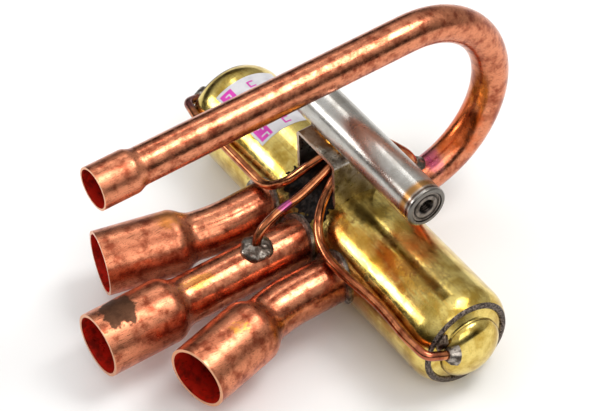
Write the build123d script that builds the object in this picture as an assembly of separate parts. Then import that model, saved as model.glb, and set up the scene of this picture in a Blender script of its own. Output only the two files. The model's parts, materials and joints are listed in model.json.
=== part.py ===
"""Four-way reversing valve with its solenoid pilot valve, as used in a heat pump.

A brass cylinder holds a slide and two pistons. A small pilot valve on top feeds gas
to the two ends through capillary tubes, and the pressure moves the slide.

Units are millimetres. The pieces are modelled about the middle of the cylinder, with +X
along it, -Y towards the three side pipes and +Z towards the pilot valve. save() then moves
each piece so that the origin is the centre of the suction pipe's mouth.
"""
import os
from math import asin, cos, radians, sin, sqrt, tan

from build123d import *

os.makedirs("parts", exist_ok=True)

# --- cylinder ---------------------------------------------------------------------------
body_r = 17.2            # outside radius of the brass cylinder
body_wall = 1.2
roll_r = 10.5            # outside radius of the rolled shoulder
roll_angle = 34.0        # how far the shoulder is rolled in, degrees
seam_width = 2.1         # the ring of solder that closes the rolled edge
seam_rise = 0.75
cap_setback = 4.7        # from the rolled edge back to the cap's inner face
cap_flat = 2.6           # flat ring between the seam and the domed boss on each end cap
plug_offset = 2.0        # from the rolled edge to the root of the boss
plug_rise = 5.0
cap_passage_r = 1.5

# --- side pipes -------------------------------------------------------------------------
port_pitch = 19.7        # from one side pipe's root to the next
stub_r = 7.94            # 5/8 inch copper tube
stub_wall = 1.0
socket_r = 9.6           # takes 3/4 inch tube with room for the braze
socket_wall = 1.05
socket_depth = 24.0
socket_taper = 8.0
suction_reach = 92.6     # from the middle of the cylinder to the suction pipe's mouth
fan_angle = 14.0         # how far the two outer pipes spread
fan_start = 31.2         # where their bend begins, from the middle of the cylinder
left_short = 1.2         # the left pipe is cut this much shorter
fan_bend_r = 52.5

# --- discharge pipe ---------------------------------------------------------------------
disch_r = 6.0
disch_wall = 0.8
disch_straight = 26.3    # from the middle of the cylinder to the start of the U-bend
disch_bend_r = 32.3
disch_reach = 87.4       # from the middle of the cylinder to the mouth
disch_lean = 1.6         # the plane of the U-bend leans this much, degrees
disch_socket_r = 6.4     # takes 1/2 inch tube
disch_socket_wall = 0.7
disch_socket_depth = 12.0
disch_socket_taper = 4.0

# --- seat, slide and pistons ------------------------------------------------------------
seat_face = 9.0          # from the cylinder's axis to the seat's flat face
seat_port_r = 6.25
seat_land = 7.7          # seat beyond the edge of the outer ports
piston_room = 6.95       # from the end of the seat to the outer face of the nearer piston
block_rim = 3.4          # sealing land around the block's cavity
block_wall = 1.4         # wall of the block's dome
block_flange_t = 3.0
block_rise = 8.0         # from the flange to the top of the dome
block_roof = 2.5
run_gap = 0.04           # running clearance of the sliding faces
bore_gap = 0.05          # running clearance of the pistons in the cylinder
stop_gap = 0.3           # left between a piston and its end cap at the end of travel
frame_sheet = 1.2
frame_width = 24.0
frame_lift = 0.8         # from the block's flange to the frame, filled by the leaf spring
piston_plate_t = 2.0
piston_cup_t = 0.8
piston_lip = (0.75, 2.8)
expander_t = 0.3
washer_r = 11.0
washer_t = 1.2
screw_r = 1.5
screw_head = (2.75, 1.4)
screw_spread = 5.5

# --- pilot valve ------------------------------------------------------------------------
pilot_y = 0.9
pilot_z = 41.3
sleeve_r = 6.95
sleeve_wall = 0.6
sleeve_near = 43.95
sleeve_far = -21.35
sleeve_lip = 0.7
core_length = 14.6
core_nose_r = 5.45
core_nose = 0.35
coil_screw_r = 2.1       # M5 tapping size
coil_screw_depth = 9.0
shading_ring = (4.3, 5.1, 1.2)
plunger_gap = 0.07
plunger_length = 19.0
pilot_travel = 1.9
plunger_rest_gap = 2.0   # between the plunger and the core with the coil switched off
pilot_spring_hole = (2.8, 4.0, 8.0)
pilot_spring_r = 2.0
pilot_wire_r = 0.3
pilot_turns = 7
pilot_seat_face = 2.5    # from the sleeve's axis down to the pilot seat
pilot_seat_span = (-14.4, 6.6)
pilot_port_r = 0.55
pilot_slide_size = (4.6, 4.0, 2.0)
pilot_slide_cavity = (3.2, 2.0, 1.1)
carrier_sheet = 0.8
carrier_width = 7.0
carrier_far = -9.0
end_plug_length = 5.5
end_plug_rim = 1.0

# --- bracket ----------------------------------------------------------------------------
bracket_sheet = 1.2
bracket_span = (-12.95, 7.65)
bracket_width = 16.4
bracket_bend_r = 1.9

# --- capillary tubes --------------------------------------------------------------------
cap_r = 1.5
cap_bore_r = 0.9
cap_pitch = 4.0          # where the three capillaries enter the pilot seat
fit_gap = 0.05           # brazed tube in its hole
film_gap = 0.03          # soldered faces

# --- label ------------------------------------------------------------------------------
label_span = (-57.65, -30.45)
label_arc = (-42.0, 36.0)
label_t = 0.1

# --- worked out from the above ----------------------------------------------------------
bore_r = body_r - body_wall
travel = port_pitch
seat_half = port_pitch + seat_port_r + seat_land
cap_inner_x = seat_half + piston_room + travel + stop_gap
body_half = cap_inner_x + cap_setback
roll_centre_r = body_r - roll_r
roll_start = body_half - roll_r * sin(radians(roll_angle))
edge_out_r = roll_centre_r + roll_r * cos(radians(roll_angle))
inner_roll_r = roll_r - body_wall
edge_in = (roll_start + inner_roll_r * sin(radians(roll_angle)),
           roll_centre_r + inner_roll_r * cos(radians(roll_angle)))
seam_in_r = edge_out_r - seam_width
plug_r = seam_in_r - cap_flat
seam_in_x = body_half + 0.25
plug_x = body_half + plug_offset
cavity_length = port_pitch + 2 * seat_port_r + 0.1
cavity_width = 2 * seat_port_r + 0.1
block_flange = (cavity_length + 2 * block_rim, block_flange_t, cavity_width + 1.6 * block_rim)
block_dome = (cavity_length + 2 * block_wall, block_rise, cavity_width + 1.7 * block_wall)
block_cavity = (cavity_length, block_flange_t + block_rise - block_roof, cavity_width)
shuttle_half = cap_inner_x - travel / 2 - stop_gap
sleeve_bore_r = sleeve_r - sleeve_wall
plate_top = pilot_z - sleeve_r
pilot_port_pitch = pilot_travel
stub_root = sqrt(bore_r ** 2 - stub_r ** 2) - 1.4
disch_root = bore_r + 0.2
counterbore_z = pilot_z - pilot_seat_face - 1.8


def save(name, shape):
    """Write one piece, moved so that the suction pipe's mouth is the origin."""
    export_step(Pos(0, suction_reach, 0) * shape, f"parts/{name}.step")


def rod(start, end, radius):
    """A round bar between two points."""
    line = Line(start, end)
    return sweep(Plane(origin=line @ 0, z_dir=line % 0) * Circle(radius), path=line)


def bar_x(x0, x1, radius, y=0.0, z=0.0):
    """A round bar along X."""
    return rod((x0, y, z), (x1, y, z), radius)


def block(x, y, z):
    """A box given by its low and high limits along X, Y and Z."""
    size = (x[1] - x[0], y[1] - y[0], z[1] - z[0])
    return Pos(sum(x) / 2, sum(y) / 2, sum(z) / 2) * Box(*size)


def turned(points):
    """A solid of revolution about X, from a closed outline of (x, radius) points."""
    return revolve(make_face(Polyline(*[(x, r, 0) for x, r in points], close=True)), Axis.X)


# --- cylinder, end caps and seam rings --------------------------------------------------
def body_outline(radius_offset):
    """Half outline of the cylinder's right end, as the edges from the middle to the roll."""
    arc_r = roll_r - radius_offset
    wall_r = body_r - radius_offset
    half = radians(roll_angle / 2)
    full = radians(roll_angle)
    middle = (roll_start + arc_r * sin(half), roll_centre_r + arc_r * cos(half))
    end = (roll_start + arc_r * sin(full), roll_centre_r + arc_r * cos(full))
    return wall_r, middle, end


def body_tube():
    """The cylinder, with both ends rolled in and holes for the four pipes."""
    wall_out, mid_out, end_out = body_outline(0)
    wall_in, mid_in, end_in = body_outline(body_wall)
    edges = [
        Line((0, wall_in), (roll_start, wall_in)),
        ThreePointArc((roll_start, wall_in), mid_in, end_in),
        Line(end_in, end_out),
        ThreePointArc(end_out, mid_out, (roll_start, wall_out)),
        Line((roll_start, wall_out), (0, wall_out)),
        Line((0, wall_out), (0, wall_in)),
    ]
    half = revolve(make_face(Curve() + edges), Axis.X)
    tube = half + mirror(half, about=Plane.YZ)
    for x in (-port_pitch, 0, port_pitch):
        tube -= rod((x, 0, 0), (x, -body_r - 1, 0), stub_r + fit_gap)
    tube -= rod((0, 0, 0), (0, body_r + 1, 0), disch_r + fit_gap)
    return tube


def seam_ring():
    """Solder that fills the step between the rolled edge and the right end cap."""
    top_x = body_half + seam_rise
    return turned([
        (body_half, edge_out_r),
        (top_x - 0.15, edge_out_r - 0.35 * seam_width / 2),
        (top_x, edge_out_r - seam_width / 2),
        (top_x - 0.1, seam_in_r + 0.25),
        (seam_in_x, seam_in_r),
        edge_in,
    ])


def cap_entry(side):
    """Where a capillary enters the boss, and the unit direction it arrives along."""
    end = Vector(*cap_routes[side][-1])
    direction = (end - Vector(*cap_routes[side][-2])).normalized()
    return end, direction


def end_cap(side):
    """End cap with its domed boss and the passage from the capillary."""
    arc_r = inner_roll_r - film_gap
    low = asin((cap_inner_x - roll_start) / arc_r)
    high = radians(roll_angle)
    rim = [(roll_start + arc_r * sin(a), roll_centre_r + arc_r * cos(a))
           for a in (low, (low + high) / 2, high)]
    shoulder = (plug_x - 0.7, plug_r + 0.6)
    groove = (plug_x - 0.4, plug_r + 0.1)
    edges = [
        Line((cap_inner_x, 0), rim[0]),
        ThreePointArc(*rim),
        Line(rim[2], (seam_in_x, seam_in_r)),
        Line((seam_in_x, seam_in_r), shoulder),
        Line(shoulder, groove),
        Line(groove, (plug_x, plug_r)),
        EllipticalCenterArc((plug_x, 0), plug_rise, plug_r, start_angle=0, arc_size=90),
        Line((plug_x + plug_rise, 0), (cap_inner_x, 0)),
    ]
    cap = revolve(make_face(Curve() + edges), Axis.X)
    if side == "left":
        cap = mirror(cap, about=Plane.YZ)
    end, direction = cap_entry(side)
    sign = 1 if side == "right" else -1
    cap -= rod(end - direction * 6, end, cap_r + fit_gap)
    meet = Vector(end.X, 0, 0)
    cap -= rod(end - direction * 0.5, meet, cap_bore_r)
    cap -= bar_x(sign * (cap_inner_x - 0.5), end.X, cap_passage_r)
    return cap


# --- side pipes and discharge pipe ------------------------------------------------------
def swaged_pipe(path, end_dir, tube_r, bell_r, taper, depth, overrun=0.0):
    """Solid pipe along a path, widened at its far end into a socket."""
    solid = sweep(Plane(origin=path @ 0, z_dir=path % 0) * Circle(tube_r), path=path)
    bell_edges = [
        Line((0, 0), (0, tube_r)),
        Spline((0, tube_r), (taper, bell_r), tangents=((1, 0), (1, 0))),
        Line((taper, bell_r), (taper + depth + overrun, bell_r)),
        Line((taper + depth + overrun, bell_r), (taper + depth + overrun, 0)),
        Line((taper + depth + overrun, 0), (0, 0)),
    ]
    bell = revolve(make_face(Curve() + bell_edges), Axis.X)
    frame = Plane(origin=path @ 1, x_dir=end_dir, z_dir=(0, 0, 1))
    return solid + frame.location * bell


def port_path(side):
    """Centre line of a side pipe from its root to the start of its socket."""
    x = side * port_pitch
    if side == 0:
        end = -(suction_reach - socket_depth - socket_taper)
        return Line((0, -stub_root, 0), (0, end, 0)), Vector(0, -1, 0)
    start = fan_start - (left_short if side < 0 else 0)
    angle = radians(fan_angle)
    centre_x = x + side * fan_bend_r
    half = angle / 2

    def on_bend(a):
        return (centre_x - side * fan_bend_r * cos(a), -start - fan_bend_r * sin(a), 0)

    straight = Line((x, -stub_root, 0), (x, -start, 0))
    bend = ThreePointArc(on_bend(0), on_bend(half), on_bend(angle))
    return Wire([straight.edge(), bend.edge()]), Vector(side * sin(angle), -cos(angle), 0)


def port_tube(side, with_capillary=False):
    """Copper side pipe: root in the seat, gentle bend, socket for the next size of tube."""
    path, direction = port_path(side)
    outer = swaged_pipe(path, direction, stub_r, socket_r + socket_wall,
                        socket_taper, socket_depth)
    inner = swaged_pipe(path, direction, stub_r - stub_wall, socket_r,
                        socket_taper, socket_depth, 1.0)
    pipe = outer - inner
    if with_capillary:
        x, y, _ = cap_routes["suction"][-1]
        pipe -= rod((x, y, 0), (x, y, stub_r + 2), cap_r + fit_gap)
    return pipe


def lean(shape):
    """Turn a shape about Y by the lean of the discharge pipe's U-bend."""
    return Rot(0, -disch_lean, 0) * shape


def discharge_tube():
    """Copper discharge pipe: out at the back, over the top in a U-bend, socket at the end."""
    top = 2 * disch_bend_r
    y = disch_straight
    front = -(disch_reach - disch_socket_depth - disch_socket_taper)
    path = Wire([
        Line((0, disch_root, 0), (0, y, 0)).edge(),
        ThreePointArc((0, y, 0), (0, y + disch_bend_r, disch_bend_r), (0, y, top)).edge(),
        Line((0, y, top), (0, front, top)).edge(),
    ])
    ahead = Vector(0, -1, 0)
    outer = swaged_pipe(path, ahead, disch_r, disch_socket_r + disch_socket_wall,
                        disch_socket_taper, disch_socket_depth)
    inner = swaged_pipe(path, ahead, disch_r - disch_wall, disch_socket_r,
                        disch_socket_taper, disch_socket_depth, 1.0)
    pipe = lean(outer - inner)
    return pipe - route_rod(cap_routes["discharge"][-2:], cap_r + fit_gap)


def root_braze(x, side, radius, pipe_r, rise):
    """Ring of braze where a pipe leaves the cylinder; side is -1 to the front, 1 to the back."""
    far = side * (body_r + 3)
    ring = rod((x, 0, 0), (x, far, 0), radius) - rod((x, 0, 0), (x, far, 0), pipe_r)
    shell = bar_x(x - radius - 1, x + radius + 1, body_r + rise)
    shell -= bar_x(x - radius - 2, x + radius + 2, body_r)
    return ring & shell


# --- seat, slide and pistons ------------------------------------------------------------
def valve_seat():
    """Brass seat soldered in the cylinder, with a port for each side pipe."""
    seat = bar_x(-seat_half, seat_half, bore_r - film_gap)
    seat &= block((-seat_half, seat_half), (-body_r, -seat_face), (-body_r, body_r))
    for x in (-port_pitch, 0, port_pitch):
        seat -= rod((x, -stub_root + film_gap, 0), (x, -body_r, 0), stub_r + fit_gap)
        seat -= rod((x, 0, 0), (x, -body_r, 0), seat_port_r)
    return seat


def slide_block(x):
    """Sliding block whose cavity joins the suction port to one of its neighbours."""
    base = -seat_face + run_gap
    top = base + block_flange[1]
    length, _, width = block_flange
    body = block((x - length / 2, x + length / 2), (base, top), (-width / 2, width / 2))
    length, rise, width = block_dome
    dome = block((x - length / 2, x + length / 2), (base, top + rise), (-width / 2, width / 2))
    dome = fillet(dome.edges().filter_by(Axis.Z).group_by(Axis.Y)[-1], 5.0)
    length, depth, width = block_cavity
    cavity = block((x - length / 2, x + length / 2), (base - 1, base + depth),
                   (-width / 2, width / 2))
    cavity = fillet(cavity.edges().filter_by(Axis.Z).group_by(Axis.Y)[-1], 4.0)
    return body + dome - cavity


def frame_height():
    """Underside of the slide frame along Y."""
    return -seat_face + run_gap + block_flange[1] + frame_lift


def stack_x():
    """Faces of one piston's stack along X from the shuttle's middle, inside to outside."""
    faces = [shuttle_half]
    for t in (screw_head[1], washer_t, expander_t, piston_cup_t, piston_plate_t, frame_sheet):
        faces.append(faces[-1] - t)
    return faces[::-1]


def slide_frame(x):
    """Sheet steel frame that ties the pistons together and carries the block."""
    tab_in, tab_out = stack_x()[:2]
    low = frame_height()
    half = frame_width / 2
    sheet = block((x - tab_out, x + tab_out), (low, low + frame_sheet), (-half, half))
    length, _, width = block_dome
    room = 0.15
    sheet -= block((x - length / 2 - room, x + length / 2 + room), (low - 1, low + 3),
                   (-width / 2 - room, width / 2 + room))
    for side in (-1, 1):
        gas_x = x + side * (block_dome[0] / 2 + tab_in) / 2
        sheet -= rod((gas_x, low - 1, 0), (gas_x, low + 3, 0), 6.5)
        tab = block(sorted((x + side * tab_in, x + side * tab_out)), (low, low + 14.0),
                    (-8.0, 8.0))
        for z in (-screw_spread, screw_spread):
            tab -= bar_x(x + side * (tab_in - 1), x + side * (tab_out + 1),
                         screw_r + run_gap, 2.0, z)
        sheet += tab
    return sheet


def slide_spring(x):
    """Bowed leaf spring that keeps the block on its seat."""
    t = 0.3
    half_x = block_flange[0] / 2 - 0.1
    half_z = block_flange[2] / 2
    low = frame_height() - frame_lift
    bow = frame_lift - t
    edges = [
        ThreePointArc((x - half_x, low), (x, low + bow), (x + half_x, low)),
        Line((x + half_x, low), (x + half_x, low + t)),
        ThreePointArc((x + half_x, low + t), (x, low + bow + t), (x - half_x, low + t)),
        Line((x - half_x, low + t), (x - half_x, low)),
    ]
    leaf = extrude(make_face(Curve() + edges), half_z, both=True)
    length, _, width = block_dome
    room = 0.15
    return leaf - block((x - length / 2 - room, x + length / 2 + room), (low - 1, low + 3),
                        (-width / 2 - room, width / 2 + room))


def drilled(shape, x):
    """Cut the two screw holes of a piston through a shape."""
    for z in (-screw_spread, screw_spread):
        shape -= bar_x(x - shuttle_half - 5, x + shuttle_half + 5, screw_r + run_gap, 2.0, z)
    return shape


def piston_pieces(x, side):
    """The pieces of one piston, from the frame outwards, by name."""
    _, plate, cup, expander, washer, head, _ = stack_x()
    lip_t, lip_length = piston_lip
    seal_r = bore_r - run_gap

    def disc(start, end, radius):
        return drilled(bar_x(x + side * start, x + side * end, radius), x)

    def ring(start, end, outer, inner):
        hole = bar_x(x + side * (start - 1), x + side * (end + 1), inner)
        return bar_x(x + side * start, x + side * end, outer) - hole

    lip_in = seal_r - lip_t
    cup_solid = disc(cup, expander, seal_r) + ring(cup, expander + lip_length - piston_cup_t,
                                                   seal_r, lip_in)
    spread_r = lip_in - run_gap
    spread = disc(expander, washer, spread_r)
    spread += ring(expander, expander + lip_length - 1.0, spread_r, spread_r - expander_t)
    return {
        "piston_plate": disc(plate, cup, bore_r - bore_gap),
        "piston_cup": cup_solid,
        "piston_expander": spread,
        "piston_washer": disc(washer, head, washer_r),
    }


def piston_screws(x):
    """Four pan-head screws, two for each piston."""
    screws = []
    tab_in = stack_x()[0]
    head_in, head_out = stack_x()[-2:]
    for side in (-1, 1):
        for z in (-screw_spread, screw_spread):
            shank = bar_x(x + side * (tab_in - 1.2), x + side * (head_in + 0.2), screw_r, 2.0, z)
            head = bar_x(x + side * head_in, x + side * head_out, screw_head[0], 2.0, z)
            slot = block(sorted((x + side * (head_out - 0.6), x + side * (head_out + 1))),
                         (2.0 - 0.4, 2.0 + 0.4), (z - 4, z + 4))
            screws.append(shank + head - slot)
    return Compound(children=screws)


# --- pilot valve ------------------------------------------------------------------------
def pilot_bar(x0, x1, radius, z=0.0):
    """A round bar on the pilot valve's axis."""
    return bar_x(x0, x1, radius, pilot_y, pilot_z + z)


def capillary_holes(low, high):
    """Cutters for the three capillaries below the pilot valve."""
    cutters = []
    for name in ("left", "suction", "right"):
        x, y, _ = cap_routes[name][0]
        cutters.append(rod((x, y, low), (x, y, high), cap_r + fit_gap))
    return cutters


def pilot_sleeve():
    """Stainless sleeve that the coil slides over, its near end turned in over the core."""
    sleeve = pilot_bar(sleeve_far, sleeve_near, sleeve_r)
    sleeve = fillet(sleeve.edges().filter_by(GeomType.CIRCLE).group_by(Axis.X)[-1], 0.65)
    sleeve -= pilot_bar(sleeve_far - 1, sleeve_near - sleeve_lip, sleeve_bore_r)
    sleeve -= pilot_bar(0, sleeve_near + 1, core_nose_r + fit_gap)
    for cutter in capillary_holes(plate_top - 1, pilot_z):
        sleeve -= cutter
    return sleeve


def core_inner():
    """Inner face of the fixed core along X."""
    return sleeve_near - sleeve_lip - core_length


def pilot_core():
    """Fixed magnetic core with the threaded hole for the coil's screw."""
    inner = core_inner()
    shoulder = sleeve_near - sleeve_lip
    core = pilot_bar(inner, shoulder, sleeve_bore_r - film_gap)
    face = shoulder + core_nose
    core += pilot_bar(shoulder - 1, face, core_nose_r)
    core -= pilot_bar(face - coil_screw_depth, face + 1, coil_screw_r)
    mouth = Cone(coil_screw_r, coil_screw_r + 0.6, 0.6)
    core -= Pos(face - 0.3, pilot_y, pilot_z) * Rot(0, 90, 0) * mouth
    groove = pilot_bar(face - 0.3, face + 1, core_nose_r - 0.75)
    groove -= pilot_bar(face - 1, face + 2, core_nose_r - 1.1)
    core -= groove
    ring_in, ring_out, ring_t = shading_ring
    slot = pilot_bar(inner - 1, inner + ring_t, ring_out + run_gap)
    slot -= pilot_bar(inner - 2, inner + ring_t + 1, ring_in - run_gap)
    core -= slot
    return core - pilot_bar(inner - 1, inner + pilot_spring_hole[1], pilot_spring_hole[0])


def pilot_shading_ring():
    """Copper ring in the core's inner face that stops the plunger from humming."""
    ring_in, ring_out, ring_t = shading_ring
    inner = core_inner()
    return pilot_bar(inner, inner + ring_t, ring_out) - pilot_bar(inner - 1, inner + 3, ring_in)


def plunger_ends():
    """Low and high end of the plunger along X with the coil switched off."""
    high = core_inner() - plunger_rest_gap
    return high - plunger_length, high


def carrier_z():
    """Low and high face of the carrier, from the sleeve's axis."""
    low = -pilot_seat_face + 0.9
    return low, low + carrier_sheet


def pilot_plunger():
    """Moving iron core, bored for its spring and slotted for the slide's carrier."""
    low, high = plunger_ends()
    body = pilot_bar(low, high, sleeve_bore_r - plunger_gap)
    body -= pilot_bar(high - pilot_spring_hole[2], high + 1, pilot_spring_hole[0])
    z_low, z_high = carrier_z()
    half = carrier_width / 2 + run_gap
    slot = block((low - 1, low + 2.1), (pilot_y - half, pilot_y + half),
                 (pilot_z + z_low - run_gap, pilot_z + z_high + run_gap))
    return body - slot


def pilot_return_spring():
    """Coil spring between the core and the plunger."""
    low = plunger_ends()[1] - pilot_spring_hole[2] + pilot_wire_r + 0.05
    high = core_inner() + pilot_spring_hole[1] - pilot_wire_r - 0.05
    length = high - low
    coil = Helix(pitch=length / pilot_turns, height=length, radius=pilot_spring_r)
    wire = sweep(Plane(origin=coil @ 0, z_dir=coil % 0) * Circle(pilot_wire_r), path=coil,
                 is_frenet=True)
    return Pos(low, pilot_y, pilot_z) * Rot(0, 90, 0) * wire


def pilot_seat():
    """Seat in the bottom of the sleeve, with three ports that lead to the capillaries."""
    x0, x1 = pilot_seat_span
    seat = pilot_bar(x0, x1, sleeve_bore_r - film_gap)
    seat &= block((x0, x1), (pilot_y - sleeve_r, pilot_y + sleeve_r),
                  (pilot_z - sleeve_r, pilot_z - pilot_seat_face))
    for cutter in capillary_holes(plate_top - 1, counterbore_z):
        seat -= cutter
    for place in (-1, 0, 1):
        bottom = (place * cap_pitch, pilot_y, counterbore_z - 0.5)
        top = (place * pilot_port_pitch, pilot_y, pilot_z - pilot_seat_face + 0.6)
        seat -= rod(bottom, top, pilot_port_r)
    return seat


def pilot_slide(x):
    """Small block whose cavity joins the suction capillary to one of its neighbours."""
    length, width, rise = pilot_slide_size
    base = pilot_z - pilot_seat_face + run_gap
    body = block((x - length / 2, x + length / 2), (pilot_y - width / 2, pilot_y + width / 2),
                 (base, base + rise))
    length, width, depth = pilot_slide_cavity
    return body - block((x - length / 2, x + length / 2),
                        (pilot_y - width / 2, pilot_y + width / 2), (base - 1, base + depth))


def pilot_carrier(x):
    """Strip that ties the small slide to the plunger."""
    z_low, z_high = carrier_z()
    half = carrier_width / 2
    strip = block((carrier_far, plunger_ends()[0] + 2.0), (pilot_y - half, pilot_y + half),
                  (pilot_z + z_low, pilot_z + z_high))
    length, width, _ = pilot_slide_size
    return strip - block((x - length / 2 - run_gap, x + length / 2 + run_gap),
                         (pilot_y - width / 2 - run_gap, pilot_y + width / 2 + run_gap),
                         (pilot_z - 5, pilot_z + 5))


def pilot_leaf_spring(x):
    """Leaf on the carrier that presses the small slide down."""
    t = 0.2
    foot = pilot_z + carrier_z()[1]
    top = pilot_z - pilot_seat_face + run_gap + pilot_slide_size[2]
    far = carrier_far + 0.5
    bend = x - pilot_slide_size[0] / 2
    outline = Polyline((far, foot), (bend - 2.0, foot), (bend, top), (x + 1.5, top),
                       (x + 1.5, top + t), (bend, top + t), (bend - 2.0, foot + t),
                       (far, foot + t), close=True)
    leaf = extrude(Plane.XZ * make_face(outline), 1.2, both=True)
    return Pos(0, pilot_y, 0) * leaf


def pilot_end_plug():
    """Plug brazed in the sleeve's far end, drilled for the discharge capillary."""
    inner = sleeve_far + end_plug_length
    plug = pilot_bar(sleeve_far, inner, sleeve_bore_r - film_gap)
    plug += pilot_bar(sleeve_far - end_plug_rim, sleeve_far, sleeve_r)
    plug -= pilot_bar(sleeve_far - 3, inner - 1.5, cap_r + fit_gap)
    return plug - pilot_bar(sleeve_far - 3, inner + 1, cap_bore_r)


# --- bracket ----------------------------------------------------------------------------
def pilot_bracket():
    """Folded steel sheet: a plate under the sleeve and a leg down to the cylinder each end."""
    x0, x1 = bracket_span
    half = bracket_width / 2
    outer = block((x0, x1), (-half, half), (0, plate_top))
    outer = fillet(outer.edges().filter_by(Axis.Y).group_by(Axis.Z)[-1], bracket_bend_r)
    t = bracket_sheet
    inner = block((x0 + t, x1 - t), (-half - 1, half + 1), (-1, plate_top - t))
    inner = fillet(inner.edges().filter_by(Axis.Y).group_by(Axis.Z)[-1], bracket_bend_r - t)
    sheet = outer - inner - bar_x(x0 - 1, x1 + 1, body_r + film_gap)
    sheet &= block((x0, x1), (-half, half), (body_r / 2, plate_top))
    for cutter in capillary_holes(body_r + 5, pilot_z):
        sheet -= cutter
    return sheet


def bracket_braze():
    """Two fillets of braze between the sleeve and the bracket's plate."""
    x0, x1 = bracket_span
    reach = 3.4
    drop = sleeve_r - sqrt(sleeve_r ** 2 - reach ** 2)
    fillets = []
    for side in (-1, 1):
        outline = Polyline((side * 0.4, plate_top + 0.02),
                           (side * (reach + 0.5), plate_top + 0.02),
                           (side * reach, plate_top + drop * 0.8),
                           (side * 0.4, plate_top + 1.5), close=True)
        prism = extrude(Plane.YZ * make_face(outline), x1 - x0 - 2 * bracket_bend_r)
        prism = Pos(x0 + bracket_bend_r, pilot_y, 0) * prism
        prism -= pilot_bar(x0 - 1, x1 + 1, sleeve_r)
        for x in (-cap_pitch, 0, cap_pitch):
            prism -= rod((x, pilot_y, plate_top - 1), (x, pilot_y, plate_top + 3), cap_r + film_gap)
        fillets.append(prism)
    return Compound(children=fillets)


# --- capillary tubes --------------------------------------------------------------------
# Each route runs from the pilot valve to where it is brazed in. The points are the corners
# of the bent tube, and every corner is bent as wide as its two runs allow.
def around(x, radius, angle):
    """A point at a radius from the cylinder's axis, the angle in degrees from the top."""
    return (x, -radius * sin(radians(angle)), radius * cos(radians(angle)))


def over_pipe(x, radius, lift):
    """A point at a radius from the cylinder's axis, lifted this much over the side pipes."""
    z = stub_r + cap_r + lift
    return (x, -sqrt(radius ** 2 - z ** 2), z)


start_z = counterbore_z - 0.1
drop_z = plate_top - 5.7
boss_x = plug_x + 2.4
boss_end_r = plug_r - 2.2
leg_x = bracket_span[1] - bracket_sheet - cap_r - 0.45
bracket_front = pilot_y - bracket_width / 2
cap_routes = {
    "left": [
        (-cap_pitch, pilot_y, start_z),
        (-cap_pitch, pilot_y, drop_z),
        around(-5.9, body_r + 8.3, 17),
        around(-9.7, body_r + 5.5, 40),
        over_pipe(2.7 - port_pitch, body_r + 4.0, 1.5),
        over_pipe(-9.3 - port_pitch, body_r + 3.2, 0.5),
        around(21.8 - body_half, body_r + 2.7, 62),
        around(8.3 - body_half, body_r + 2.7, 63),
        around(2.2 - boss_x, body_r - 0.2, 64.5),
        around(0.6 - boss_x, plug_r + 2.4, 65),
        around(-boss_x, boss_end_r, 64),
    ],
    "suction": [
        (0, pilot_y, start_z),
        (0, pilot_y, drop_z),
        around(0.1, body_r + 8.2, 17),
        around(0.3, body_r + 8.4, 38.5),
        (0.5, -24.4, stub_r + 10.8),
        (0.8, -30.6, stub_r + 7.8),
        (0.9, -33.6, stub_r + 3.8),
        (0.9, -33.8, stub_r - 1.1),
    ],
    "right": [
        (cap_pitch, pilot_y, start_z),
        (cap_pitch, pilot_y, drop_z),
        (leg_x, -6.4, body_r + 8.5),
        (leg_x + 1.4, bracket_front - 4.9, body_r + 1.0),
        around(8.2, body_r + 3.4, 48),
        over_pipe(port_pitch - 6.9, body_r + 4.2, 2.2),
        over_pipe(port_pitch + 0.8, body_r + 5.4, 1.3),
        over_pipe(port_pitch + 10.3, body_r + 4.3, 0.5),
        around(body_half - 25.3, body_r + 3.0, 61.5),
        around(body_half - 15.3, body_r + 2.3, 63),
        around(body_half - 7.3, body_r + 2.3, 66),
        around(boss_x - 1.6, body_r + 1.2, 67),
        around(boss_x - 0.6, plug_r + 2.6, 66),
        around(boss_x, boss_end_r, 64),
    ],
    "discharge": [
        (sleeve_far + end_plug_length - 1.6, pilot_y, pilot_z),
        (sleeve_far - 5.2, pilot_y, pilot_z),
        (sleeve_far - 6.6, 5.6, 37.6),
        (sleeve_far - 1.0, 10.4, 31.6),
        (-13.0, 13.4, 26.6),
        (-6.6, 17.0, 21.8),
        (-3.3, 22.6, 16.6),
        (-1.9, 27.2, 11.4),
        (-1.3, 29.6, disch_r - 0.9),
    ],
}


def route_rod(points, radius):
    """A round bar along a route, each corner bent as wide as its two runs allow."""
    if len(points) == 2:
        return rod(points[0], points[1], radius)
    corners = [Vector(*p) for p in points]
    radii = []
    for before, corner, after in zip(corners, corners[1:], corners[2:]):
        first, second = corner - before, after - corner
        turn = radians(first.get_angle(second))
        radii.append(0.45 * min(first.length, second.length) / tan(turn / 2))
    path = FilletPolyline(*points, radius=radii)
    return sweep(Plane(origin=path @ 0, z_dir=path % 0) * Circle(radius), path=path)


def capillary(name):
    """One capillary tube, bored through."""
    points = cap_routes[name]
    return route_rod(points, cap_r) - route_rod(points, cap_bore_r)


def boss_braze(side):
    """Braze around a capillary where it enters the boss of an end cap."""
    end, direction = cap_entry(side)
    base = end - direction * 1.2
    cone = Plane(origin=base, z_dir=-direction) * Cone(3.6, cap_r + 0.5, 3.2)
    blob = cone - rod(end - direction * 9, end, cap_r + 0.01)
    blob -= bare_cap(side)
    return largest(blob)


def bare_cap(side):
    """The boss of an end cap without its passages, used to trim the braze."""
    edges = [
        Line((plug_x - 4, 0), (plug_x - 4, plug_r + 0.6)),
        Line((plug_x - 4, plug_r + 0.6), (plug_x, plug_r)),
        EllipticalCenterArc((plug_x, 0), plug_rise, plug_r, start_angle=0, arc_size=90),
        Line((plug_x + plug_rise, 0), (plug_x - 4, 0)),
    ]
    boss = revolve(make_face(Curve() + edges), Axis.X)
    return boss if side == "right" else mirror(boss, about=Plane.YZ)


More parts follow.
